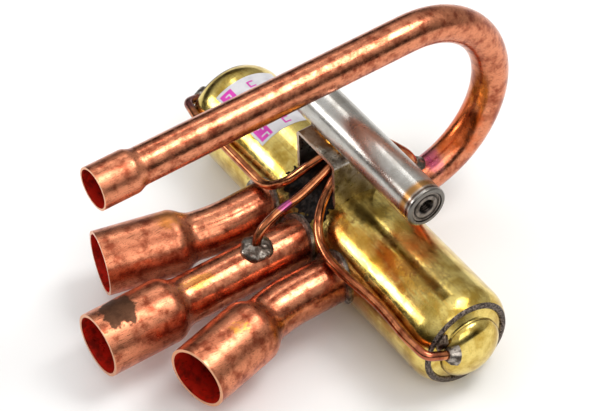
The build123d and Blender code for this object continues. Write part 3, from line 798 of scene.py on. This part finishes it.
TUBE_STAINS = (
    Stain((-1.0, 8.5, 10.0), (7.5, 7.0, 5.2), "#4E3A2C", 0.9, 1.3, 3.0, 0.25, 0.8),
    Stain((2.0, 36.0, 8.0), (3.5, 7, 2.5), "#E8A04A", 0.55, 1.9, (0.9, 2.5, 0.9)),
    Stain((26.5, 35.0, 8.5), (3, 5, 3.0), "#E6A436", 0.7, 1.7, (1.0, 2.0, 1.0)),
    Stain((-25.0, 42.0, 9.5), (6, 6, 3), "#D98A3C", 0.6, 1.3, 1.6),
    Stain((0.0, 136.0, 16.0), (9, 12, 14), "#DE6426", 0.75, 1.0, 3.0),
    Stain((0.0, 127.0, 6.0), (7, 4, 7), "#A83A72", 0.55, 1.1, 2.0),
    Stain((0.0, 118.0, 0.0), (8, 7, 8), "#C8704A", 0.6, 0.9, 2.0),
    Stain((20.0, 72.0, 0.0), (12, 9, 12), "#6A2410", 0.75, 0.8, 2.5, 0.04),
    Stain((-20.0, 72.0, 0.0), (12, 8, 12), "#7A2C14", 0.7, 0.8, 2.5, 0.04),
    Stain((0.0, 73.0, 2.0), (11, 8, 10), "#8A3416", 0.65, 0.9, 2.5, 0.03),
    # The next four: orange and red on the pipes' undersides, painted reflection of the copper round them.
    Stain((0.0, 52.0, -5.0), (12, 22, 6), "#C83C14", 0.6, 0.8, 5.0),
    Stain((0.0, 15.0, -6.0), (13, 16, 7), "#D2521E", 0.5, 0.8, 5.0),
    Stain((-26.0, 30.0, -6.0), (13, 30, 7), "#D2521E", 0.5, 0.8, 5.0),
    Stain((26.0, 30.0, -6.0), (13, 30, 7), "#D2521E", 0.5, 0.8, 5.0),
)

CAPILLARY_STAINS = (
    Stain((-67.0, 78.0, 8.0), (7, 6, 6), "#7A4A4E", 0.8, 0.7, 3.0, 0.12),
    Stain((0.4, 70.0, 20.0), (3, 3, 5), "#B0489A", 0.7, 0.8, 2.0),
    Stain((0.9, 60.0, 12.0), (4, 5, 4), "#7A3A20", 0.7, 0.8, 2.0, 0.1),
    Stain((66.0, 77.0, 6.0), (7, 6, 5), "#9A4A40", 0.65, 0.8, 3.0, 0.08),
    Stain((-30.0, 76.0, 9.0), (16, 4, 4), "#8A4A30", 0.5, 1.0, 3.0),
)

BRACKET_STAINS = (
    Stain((-8, 88, 34), (9, 6, 4), "#8A5A30", 0.6, 1.3, 1.8, 0.05),
    Stain((-3, 92, 19), (13, 14, 9), "#2E2019", 0.85, 1.2, 2.0, 0.15),
)

TEMPER_RINGS = (
    Band(38.2, 42.6, "#A8742C", 0.9, 0.2, 1.0),
    # Painted shade: the dark brown and grey bands before the lip darken its reflection.
    Band(41.7, 43.3, "#4A3020", 0.9, 0.2, 1.0),
    Band(43.1, 44.5, "#5E5750", 0.85, 0.2, 1.0),
    Band(-20.0, -14.0, "#A07A48", 0.6, 0.2, 1.0),
)

# The hole and the two grooves in the pilot core's face, darkened as painted shade.
CORE_BANDS = (
    Band(-2.8, 2.8, "#0A0807", 1.0),
    Band(3.9, 4.45, "#2A2420", 0.85),
    Band(5.2, 5.7, "#1A1512", 0.95),
)


def brass_stains(cylinder: Cylinder) -> tuple[Stain, ...]:
    """The torch's tints on the cylinder: straw and orange runs and black where the flux burnt, with painted
    reflection and painted shadow along its lower front side.

    Args:
        cylinder: The valve's cylinder.

    Returns:
        The patches, each given below by its place along X and its angle from the top.
    """
    run = (5.0, 1.1, 1.1)
    spots = (
        (26, 34, (22, 5, 5), "#D0922C", 0.6, 1.8, run),
        (44, 20, (18, 5, 5), "#D8A03C", 0.55, 1.9, run),
        (36, -8, (14, 5, 5), "#B0843C", 0.4, 1.8, run),
        (50, 8, (8, 7, 7), "#8E7844", 0.6, 1.6, 1.4, 0.1),
        (58, 40, (5, 9, 9), "#A88E3C", 0.5, 1.4, 1.2, 0.1),
        (30, 10, (4, 3, 3), "#7A4426", 0.6, 1.4, 0.9),
        (14, 60, (6, 14, 12), "#8E4816", 0.75, 1.2, 1.6, 0.1),
        # Painted reflection of the copper pipes along the cylinder's lower front edge.
        (27, 88, (16, 8, 8), "#B4702E", 0.7, 1.2, (6.0, 1.6, 1.6)),
        # These two dark runs, at 74 and 66 degrees, are the capillary's shadow and reflection, painted.
        (46, 74, (16, 4, 4), "#9A5A24", 0.6, 1.6, run),
        (-20, 66, (24, 5, 5), "#7E5020", 0.65, 1.5, 1.5, 0.1),
        (-3, 40, (15, 12, 10), "#2A1A0E", 0.9, 1.1, 1.6, 0.25),
        (-4, 0, (13, 13, 8), "#2C1D10", 0.85, 1.0, 2.0, 0.25),
        (33, 56, (1.5, 1.2, 1.2), "#3A1A12", 0.8, 1.2, 0.7, 0.2),
        (16, 2, (9, 7, 7), "#5A4A1C", 0.65, 1.3, 1.6, 0.05),
        (26, -34, (20, 5, 5), "#B0662C", 0.65, 1.6, run),
        (42, 14, (5, 4, 4), "#8A3E22", 0.5, 1.9, 0.7),
    )
    return tuple(Stain(cylinder.skin(x, degrees), *rest) for x, degrees, *rest in spots)


class Finishes:
    """Every finish of the valve, built once and handed out by slot."""

    def __init__(self, cylinder: Cylinder, mouths: tuple[SocketBore, ...]) -> None:
        """Builds the materials.

        Args:
            cylinder: The valve's cylinder, which the heat tints are placed on.
            mouths: The pipes' sockets.
        """
        self.of: dict[Slot, bpy.types.Material] = {}
        for slot, recipe in self.recipes(cylinder, mouths).items():
            self.of[slot] = recipe.material()
        # Burnt brazing flux: glassy brown-black crust.
        self.flux = CastLumps("burnt_flux", "#24150B", "#080402", (0.35, 0.7), 0.0, 1.6, 0.16,
                              0.12).material()
        # Label ink: flat magenta print.
        self.ink = Moulded("magenta_ink", "#DB3DB4", "#C42C9E", (0.4, 0.55)).material()
        # Unprinted film that shows through the ink: flat and nearly white.
        self.bare_film = Moulded("bare_film", "#DAD8DB", "#CBC8CC", (0.4, 0.55)).material()
        # Steel thread in the core's hole: dark as painted shade of the hole, with glints along its crests.
        self.thread = Metal("cut_thread", "#3A342F", "#0A0807", (0.22, 0.36), 1.0, relief=0.004).material()
        # Solder that ran beside the seam and browned in the flame.
        self.brown_solder = CastLumps("browned_solder", "#7A6A5C", "#2E2119", (0.3, 0.5), 0.9, 1.6,
                                      0.06).material()

    @staticmethod
    def recipes(cylinder: Cylinder,
                mouths: tuple[SocketBore, ...]) -> dict[Slot, Metal | CastLumps | Moulded]:
        """Says what each slot is made of.

        Args:
            cylinder: The valve's cylinder.
            mouths: The pipes' sockets.

        Returns:
            One finish for each slot.
        """
        low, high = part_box("pilot_core")
        core = (low + high) / 2 / MM
        return {
            # Drawn cartridge brass, pickled bright, then tinted gold and orange by the torch, with painted
            # reflection and painted shadow on its lower front side.
            Slot.BRASS: Metal(
                "drawn_brass", "#E8D07A", "#BE9C42", (0.12, 0.24), 6.0, (0.38, 0.66), Grain.ALONG_X,
                (0.4, 9.0), 0.4, 0.005, 0.4, "#6A4E1C", 0.55, brass_stains(cylinder)),
            # Free-cutting brass off the lathe: fine rings round X.
            Slot.TURNED_BRASS: Metal(
                "turned_brass", "#DEC878", "#A88C42", (0.2, 0.32), 3.0, (0.42, 0.62), grain=Grain.ROUND_X,
                line=(0.18, 6.0), relief=0.008, pit_colour="#5E4A20"),
            # Soft solder in the rolled seam: dark, grainy and matte.
            Slot.SEAM_SOLDER: CastLumps("seam_solder", "#85766B", "#241C18", (0.4, 0.6), 0.8, 0.6, 0.14),
            # Annealed copper tube: satin, mottled with brown oxide, drawn lines along it, with painted
            # reflection on its undersides and painted red in its bores.
            Slot.COPPER: TubeCopper(
                "annealed_copper", "#DA8A66", "#984C34", (0.17, 0.3), 4.0, (0.42, 0.68), Grain.ALONG_Y,
                (0.3, 3.0), 0.6, 0.012, 0.36, "#4A200F", 0.75, TUBE_STAINS, mouths),
            # Hard drawn capillary: brighter, with a dull purple-brown oxide in places.
            Slot.CAPILLARY_COPPER: Metal(
                "capillary_copper", "#D08458", "#83432A", (0.13, 0.22), 5.0, (0.38, 0.66), Grain.EVEN,
                (0.4, 0.4), 0.2, 0.003, 0.35, "#3A1A12", 0.3, CAPILLARY_STAINS),
            # Silver-free phosphor braze: golden where it wetted the sleeve.
            Slot.BRAZE_GOLD: CastLumps("golden_braze", "#E6A945", "#8A4E1C", (0.2, 0.34), 1.0, 1.2, 0.05),
            # Brazing alloy under its grey oxide skin: lumpy and half dull.
            Slot.BRAZE_SILVER: CastLumps("grey_braze", "#A39A90", "#544A42", (0.24, 0.44), 0.95, 2.2, 0.08),
            # Deep drawn stainless sleeve, polished, with temper colours near the crimp and painted shade
            # before its lip.
            Slot.STAINLESS: TemperedSteel(
                "drawn_stainless", "#C6C4BF", "#A8A39A", (0.25, 0.31), 8.0, (0.35, 0.75), Grain.ALONG_X,
                (0.5, 16.0), 0.25, 0.0002, 0.5, "#7A726A", 0.03, (), TEMPER_RINGS),
            # Ferritic stainless core, turned: grey, with rings round X, and painted shade in its hole and
            # grooves.
            Slot.CORE_STEEL: TurnedFace(
                "turned_core_steel", "#8A8078", "#4E463F", (0.3, 0.44), 3.0, grain=Grain.ROUND_X,
                line=(0.2, 5.0), relief=0.01, pit_colour="#3C3530", axis_y=core.y, axis_z=core.z,
                bands=CORE_BANDS),
            # Mild steel sheet, sheared and folded, browned by the torch.
            Slot.BRACKET_STEEL: SheetEdge(
                "bracket_sheet", "#B6AEA4", "#6E6256", (0.24, 0.42), 4.0, (0.35, 0.65), Grain.ALONG_X,
                (0.5, 5.0), 0.3, 0.008, 0.5, "#2C2119", 0.5, BRACKET_STAINS),
            # Copper ring pressed in the core's face: satin and a little blotched.
            Slot.SHADING_COPPER: Metal("pressed_copper", "#D99671", "#A0603F", (0.25, 0.35), 2.0),
            # Filled nylon slide block, moulded and lapped: black, with a low sheen.
            Slot.SLIDE_POLYMER: Moulded("filled_nylon", "#2C2B2D", "#1D1C1E", (0.35, 0.5)),
            # PTFE piston cups, skived: white and waxy.
            Slot.PTFE: Moulded("ptfe_cup", "#E6E4DC", "#D2CFC4", (0.38, 0.5)),
            # Polyester label film: white, with a soft gloss.
            Slot.LABEL_PAPER: Moulded("label_film", "#D9D8DB", "#C4C2C8", (0.4, 0.55)),
            # Spring steel, cold drawn: even and bright.
            Slot.SPRING_STEEL: Metal("spring_steel", "#C6C5C2", "#8E8C88", (0.2, 0.32), 2.0),
            # Zinc plated steel sheet: pale grey with faint clouds.
            Slot.SHEET_STEEL: Metal("plated_sheet", "#C9C8C0", "#A19F97", (0.26, 0.4), 4.0),
        }

    def dress(self, nodes: dict[str, bpy.types.Object], record: dict[str, Any]) -> None:
        """Gives each CAD node the finish of its slot.

        Args:
            nodes: The CAD nodes by name.
            record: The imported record, whose subparts name each node's slot.
        """
        for part in record["subparts"]:
            node = nodes[part["node"]]
            material = self.of[Slot(part["material_slot"])]
            if node.material_slots:
                for place in node.material_slots:
                    place.material = material
            else:
                node.data.materials.append(material)


@dataclass
class PilotValve:
    """The pilot valve's open end: the thread that the coil's screw goes into.

    Its profile has a foot, a crest, a crest and a foot along one pitch. The root is sunk in the
    hole's wall, and the inset is the gap between the sleeve's end and the first turn.
    """

    finishes: Finishes
    pitch: float = 0.8
    depth: float = 8.2
    hole_radius: float = 2.1
    ridge: float = 0.2
    root: float = 0.03
    inset: float = 0.25
    profile: tuple[float, ...] = (0.0, 0.42, 0.58, 0.96)
    steps: int = 28

    def build(self) -> bpy.types.Object:
        """Cuts the look of the thread as one helical ridge in the core's hole.

        Returns:
            The thread.
        """
        low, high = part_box("pilot_core")
        centre = (low + high) / 2
        pitch = self.pitch * MM
        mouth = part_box("pilot_sleeve")[1].x - self.inset * MM
        turns = int(self.depth / self.pitch)
        foot = self.hole_radius + self.root
        crest = self.hole_radius - self.ridge
        shape = bmesh.new()
        corners = [shape.verts.new((mouth - (turns + 1 - share) * pitch, centre.y, centre.z + radius * MM))
                   for share, radius in zip(self.profile, (foot, crest, crest, foot))]
        rim = [shape.edges.new((corners[i - 1], corner)) for i, corner in enumerate(corners)]
        bmesh.ops.spin(shape, geom=corners + rim, cent=(0, centre.y, centre.z), axis=(1, 0, 0),
                       dvec=(pitch / self.steps, 0, 0), angle=math.tau * turns, steps=self.steps * turns)
        bmesh.ops.holes_fill(shape, edges=shape.edges, sides=0)
        clean_mesh(shape)
        return piece_from(shape, "coil_screw_thread", self.finishes.thread, 30.0)


@dataclass
class TorchWork:
    """What brazing left: burnt flux under the bracket and lumps of alloy at the capillaries.

    Attributes:
        crust_x: Ends of the burnt flux along the cylinder.
        crust_turn: Its ends round the cylinder, in degrees from the top.
        crust_sunk: How far its underside is sunk in the cylinder.
        collar: The drop round a capillary at an end cap's boss.
        tail: The drop that ran from the collar, with its place from the collar on the right end.
        mound_share: The suction mound's half sizes, as shares of the CAD mound's sizes.
        mound_dents: Its bumps, their distance, its seed and its subdivisions, as a drop has them.
        run: The drop of solder by the right end's seam.
        run_place: How far it is past the seam, its radius and its angle from the top.
        bead_place: The sleeve bead's middle in Y and Z, from its CAD braze's lower front edge.
    """

    cylinder: Cylinder
    finishes: Finishes
    crust_x: Ends = (-16.5, 8.4)
    crust_turn: Ends = (-30.0, 64.0)
    crust_thick: float = 0.22
    crust_sunk: float = 0.05
    crust_cells: tuple[int, int] = (150, 150)
    collar: Drop = Drop((2.3, 2.6, 1.5), 0.45, 2.4, 3.0)
    collar_lift: float = 0.2
    tail: Drop = Drop((2.0, 1.7, 1.0), 0.4, 1.6, 7.0)
    tail_place: Point = (-1.7, 1.7, -0.3)
    mound_share: Point = (0.55, 0.58, 0.88)
    mound_lift: float = 0.3
    mound_dents: tuple[float, float, float, int] = (0.45, 2.8, 11.0, 5)
    run: Drop = Drop((1.3, 3.0, 1.7), 0.7, 1.8, 5.0)
    run_place: Point = (0.4, 12.2, 52.0)
    run_tilt: float = 47.0
    bead_sides: Ends = (1.0, 0.8)
    bead_place: Ends = (0.1, 0.35)
    bead_dents: tuple[float, float, float, int] = (0.3, 1.9, 9.0, 5)

    @staticmethod
    def crust_keeps(u: float, v: float) -> bool:
        """Gives the crust a rounded outline with a ragged edge.

        Args:
            u: Place along the cylinder, from -1 to 1.
            v: Place round the cylinder, from -1 to 1.

        Returns:
            Whether the place is inside the outline.
        """
        wobble = noise.noise(Vector((u * 3.1, v * 3.4, 4.0))) * 0.28
        wobble += noise.noise(Vector((u * 9.0, v * 10.0, 1.0))) * 0.12
        return (abs(u) ** 4 + abs(v) ** 4) ** 0.25 + wobble < 0.86

    @staticmethod
    def blister(place: Vector) -> float:
        """Height of the crust's blisters at a place of the cylinder."""
        return 0.16 * abs(noise.noise(place / 1.6)) + 0.08 * noise.noise(place / 0.6)

    def crust(self) -> bpy.types.Object:
        """Burnt flux that ran out from under the bracket's feet.

        Returns:
            The crust.
        """
        shape = self.cylinder.patch(self.crust_x, self.crust_turn, -self.crust_sunk, self.crust_thick,
                                    self.crust_cells, self.crust_keeps, self.blister)
        return piece_from(shape, "burnt_flux_crust", self.finishes.flux, 60.0)

    def boss_lumps(self, side: int) -> list[bpy.types.Object]:
        """The alloy round a capillary where it enters an end cap's boss.

        Args:
            side: 1 for the right end, -1 for the left.

        Returns:
            The collar and its tail.
        """
        word = "right" if side > 0 else "left"
        low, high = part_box(f"boss_braze_{word}")
        centre = (low + high) / 2
        outward = Vector((0, centre.y - self.cylinder.y * MM, centre.z - self.cylinder.z * MM)).normalized()
        turn = Vector((0, 0, 1)).rotation_difference(outward).to_matrix()
        x, y, z = self.tail_place
        collar = replace(self.collar, seed=self.collar.seed * side)
        shapes = {"collar": collar.shape(centre + outward * self.collar_lift * MM, turn),
                  "tail": self.tail.shape(centre + turn @ Vector((x * side, y, z)) * MM, turn)}
        return [piece_from(shape, f"boss_braze_{kind}_{word}",
                           self.finishes.of[Slot.BRAZE_SILVER]) for kind, shape in shapes.items()]

    def suction_mound(self) -> bpy.types.Object:
        """The wide lumpy mound that holds the capillary on the suction pipe.

        Returns:
            The mound, which stands in for the CAD's.
        """
        low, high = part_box("suction_capillary_braze")
        centre = Vector(((low.x + high.x) / 2, (low.y + high.y) / 2, low.z + self.mound_lift * MM))
        size = tuple(side / MM * share for side, share in zip(high - low, self.mound_share))
        shape = Drop(size, *self.mound_dents).shape(centre)
        mound = piece_from(shape, "suction_braze_mound",
                           self.finishes.of[Slot.BRAZE_SILVER])
        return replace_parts(mound, "suction_capillary_braze")

    def seam_run(self) -> bpy.types.Object:
        """Solder that ran from the seam towards the capillary on the right end cap.

        Returns:
            The run of solder.
        """
        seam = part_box("seam_ring_right")[1].x / MM
        past, radius, degrees = self.run_place
        turn = Matrix.Rotation(math.radians(self.run_tilt), 3, "X")
        shape = self.run.shape(self.cylinder.at(seam + past, radius, degrees), turn)
        return piece_from(shape, "seam_solder_run", self.finishes.brown_solder)

    def sleeve_bead(self) -> bpy.types.Object:
        """The golden bead of braze along the sleeve's front, on the bracket's plate.

        Returns:
            The bead.
        """
        low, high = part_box("bracket_braze")
        inward, up = self.bead_place
        at = Vector(((low.x + high.x) / 2, low.y + inward * MM, low.z + up * MM))
        half = (high.x - low.x) / 2 / MM
        shape = Drop((half, *self.bead_sides), *self.bead_dents).shape(at)
        return piece_from(shape, "sleeve_braze_bead", self.finishes.of[Slot.BRAZE_GOLD])

    def build(self) -> list[bpy.types.Object]:
        """Builds every trace of the torch."""
        return [self.crust(), *self.boss_lumps(1), *self.boss_lumps(-1),
                self.suction_mound(), self.seam_run(), self.sleeve_bead()]


@dataclass
class LabelPrint:
    """Print on the label: a magenta strip, plain blocks and open marks, with nothing to read.

    Places along X count from the label's left end, or from its right end where they are negative.
    Turns, feet and bars are degrees from the cylinder's top. Blocks and marks alternate between
    two turns.
    """

    cylinder: Cylinder
    finishes: Finishes
    film: float = 0.1
    ink: float = 0.02
    strip: Ends = (1.2, -1.0)
    strip_turn: Ends = (17.5, 33.0)
    blocks: int = 8
    block_start: float = 2.6
    block_pitch: float = 3.1
    block_turns: tuple[Ends, Ends] = ((22.0, 28.0), (21.0, 29.5))
    block_foot: float = 1.8
    mark_starts: tuple[float, ...] = (2.5, 6.5, 12.0, -8.5, -4.5)
    mark_turns: tuple[Ends, Ends] = ((-8.0, 0.0), (3.0, 11.0))
    mark_bar: float = 2.0

    def printed(self, bars: Iterable[tuple[Ends, Ends]], lift: float) -> bmesh.types.BMesh:
        """Prints bars as thin patches above the film.

        Args:
            bars: Each bar's ends along X and round the cylinder.
            lift: Gap between the film and the ink's underside.

        Returns:
            The bars in one mesh.
        """
        group = bmesh.new()
        for x, turn in bars:
            cells = (max(2, round((x[1] - x[0]) * 1.5)), max(3, round((turn[1] - turn[0]) * 0.5)))
            bar = self.cylinder.patch(x, turn, self.film + lift, self.ink, cells)
            carrier = bpy.data.meshes.new("carrier")
            bar.to_mesh(carrier)
            bar.free()
            group.from_mesh(carrier)
            bpy.data.meshes.remove(carrier)
        return group

    def build(self) -> list[bpy.types.Object]:
        """Prints the strip, the blocks and the marks on the label.

        Returns:
            The printed pieces.
        """
        ends = [corner.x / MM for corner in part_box("label")]
        strip = tuple(place + ends[place < 0] for place in self.strip)
        blocks = []
        for count in range(self.blocks):
            start = ends[0] + self.block_start + count * self.block_pitch
            turn = self.block_turns[count % 2]
            blocks.append(((start, start + 0.5), turn))
            blocks.append(((start + 0.5, start + 1.7), (turn[0], turn[0] + self.block_foot)))
        marks = []
        for count, place in enumerate(self.mark_starts):
            start = place + ends[place < 0]
            turn = self.mark_turns[count % 2]
            marks.append(((start, start + 0.6), turn))
            marks.append(((start + 0.6, start + 2.4), (turn[1] - self.mark_bar, turn[1])))
            marks.append(((start + 2.4, start + 3.0), turn))
        prints = (("label_strip", [(strip, self.strip_turn)], self.ink, self.finishes.ink),
                  ("label_blocks_white", blocks, self.ink * 2.4, self.finishes.bare_film),
                  ("label_marks_magenta", marks, self.ink, self.finishes.ink))
        return [piece_from(self.printed(bars, lift), name, material, 60.0)
                for name, bars, lift, material in prints]


@dataclass(frozen=True)
class Softbox:
    """A rectangular soft light that faces the valve, with its way from it, in metres and watts."""

    name: str
    direction: Point
    distance: float
    size: Ends
    power: float

    def build(self, target: Vector) -> None:
        """Hangs the light.

        Args:
            target: The point that it faces, in metres.
        """
        lamp = bpy.data.lights.new(self.name, "AREA")
        lamp.shape = "RECTANGLE"
        lamp.size, lamp.size_y = self.size
        lamp.energy = self.power
        holder = bpy.data.objects.new(self.name, lamp)
        away = Vector(self.direction).normalized()
        holder.location = target + away * self.distance
        holder.rotation_mode = "QUATERNION"
        holder.rotation_quaternion = (-away).to_track_quat("-Z", "Y")
        bpy.context.scene.collection.objects.link(holder)


@dataclass
class Studio:
    """The floor, the room, the soft lights and the camera, in metres and degrees.

    The camera and the lights face the target. The lens is in millimetres, on a sensor 36 mm wide.
    """

    target: Point = (-0.01077, 0.08226, 0.00304)
    distance: float = 0.95607
    azimuth: float = 57.21
    elevation: float = 46.06
    roll: float = -2.29
    lens: float = 180.53
    floor_size: float = 6.0
    floor_gap: float = 0.0002
    brightness: float = 1.15
    lights: tuple[Softbox, ...] = (
        Softbox("overhead_softbox", (0.24, 0.38, 0.9), 0.8, (0.34, 0.3), 2.6),
        Softbox("front_left_softbox", (-0.58, -0.69, 0.43), 0.8, (0.34, 0.16), 1.5),
        Softbox("back_left_strip", (-0.58, 0.22, 0.78), 0.9, (0.3, 0.1), 0.35),
        Softbox("camera_side_fill", (0.75, -0.1, 0.65), 1.1, (0.6, 0.6), 2.2),
    )

    def floor(self) -> None:
        """Lays a plain pale floor under the valve's lowest point."""
        mesh = bpy.data.meshes.new("studio_floor")
        shape = bmesh.new()
        bmesh.ops.create_grid(shape, x_segments=1, y_segments=1, size=self.floor_size / 2)
        bmesh.ops.translate(shape, verts=shape.verts, vec=(0, 0, CAD_BOX[0].z - self.floor_gap))
        shape.to_mesh(mesh)
        shape.free()
        # Matte painted board: even and nearly white.
        surface = Surface("pale_floor")
        colour = add_node(surface.tree, "Mix",
                          {0: surface.pattern(60.0), 6: "#FAFAF9", 7: "#F6F6F5"}, **COLOURS)
        mesh.materials.append(surface.finish(colour, 0.9, 0.0, surface.pattern(3.0), 0.005))
        floor = bpy.data.objects.new("studio_floor", mesh)
        bpy.context.scene.collection.objects.link(floor)

    def world(self) -> None:
        """A bright ceiling over a darker ring of room, which gives metal its dark bands."""
        world = bpy.data.worlds.new("studio_room")
        world.use_nodes = True
        tree = world.node_tree
        tree.nodes.clear()
        way = add_node(tree, "TexCoord", output="Generated")
        height = add_node(tree, "SeparateXYZ", {0: way}, "Z")
        lifted = add_node(tree, "MapRange", {0: height, 1: -1.0, 2: 1.0})
        room = add_node(tree, "ValToRGB", {0: lifted},
                        ramp=((0.0, "#B0B0B0"), (0.44, "#7A7775"), (0.52, "#2A2624"), (0.64, "#3A3634"),
                              (0.76, "#B4B2B0"), (1.0, "#F4F4F4")))
        # The wall behind the valve is pale, so that the far side of the metal isn't black.
        behind = add_node(tree, "SeparateXYZ", {0: way}, "Y")
        wall = add_node(tree, "MapRange", {0: behind, 1: 0.45, 2: 0.8, 4: 0.8})
        whole = add_node(tree, "Mix", {0: wall, 6: room, 7: "#B4B2AE"}, **COLOURS)
        back = add_node(tree, "Background", {0: whole, 1: self.brightness})
        add_node(tree, "OutputWorld", {0: back})
        bpy.context.scene.world = world

    def camera(self) -> None:
        """Places the camera."""
        turn, lift, roll = (math.radians(a) for a in (self.azimuth, self.elevation, self.roll))
        right = Vector((math.cos(turn), math.sin(turn), 0))
        back = Vector((math.sin(turn) * math.cos(lift), -math.cos(turn) * math.cos(lift), math.sin(lift)))
        up = back.cross(right)
        tilted_right = right * math.cos(roll) + up * math.sin(roll)
        tilted_up = up * math.cos(roll) - right * math.sin(roll)
        lens = bpy.data.cameras.new("studio_camera")
        lens.lens = self.lens
        lens.sensor_width = 36.0
        lens.clip_start, lens.clip_end = 0.05, 20.0
        camera = bpy.data.objects.new("studio_camera", lens)
        pose = Matrix((tilted_right, tilted_up, back)).transposed().to_4x4()
        pose.translation = Vector(self.target) + back * self.distance
        camera.matrix_world = pose
        bpy.context.scene.collection.objects.link(camera)
        bpy.context.scene.camera = camera

    def build(self) -> None:
        """Sets up the whole studio."""
        self.floor()
        self.world()
        for light in self.lights:
            light.build(Vector(self.target))
        self.camera()
        bpy.context.scene.view_settings.view_transform = "Standard"


def socket_bores() -> tuple[SocketBore, ...]:
    """Reads each pipe's mouth from the record's mounts.

    Returns:
        One bore for each pipe.
    """
    walls = {"suction_port": 1.05, "left_port": 1.05, "right_port": 1.05, "discharge_port": 0.7}
    mounts = [mount for mount in frame["record"]["mounts"] if mount["name"] in walls]
    return tuple(SocketBore(tuple(p / MM for p in mount["pos_m"]), tuple(-a for a in mount["axis"]),
                            mount["dims"]["r_mm"], walls[mount["name"]], mount["dims"]["length_mm"])
                 for mount in mounts)


def main() -> None:
    """Builds the valve's looks in order and logs each piece."""
    logging.basicConfig(level=logging.INFO, format="%(name)s: %(message)s")
    low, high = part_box("body_tube")
    centre = (low + high) / 2 / MM
    cylinder = Cylinder((high.z - low.z) / 2 / MM, centre.y, centre.z)
    finishes = Finishes(cylinder, socket_bores())
    finishes.dress(frame["nodes"], frame["record"])
    LOG.info("dressed %d nodes", len(frame["nodes"]))
    made = [PilotValve(finishes).build()]
    made += TorchWork(cylinder, finishes).build()
    made += LabelPrint(cylinder, finishes).build()
    for piece in made:
        LOG.info("built %s, %d faces", piece.name, len(piece.data.polygons))
    Studio().build()


if __name__ == "__main__":
    main()
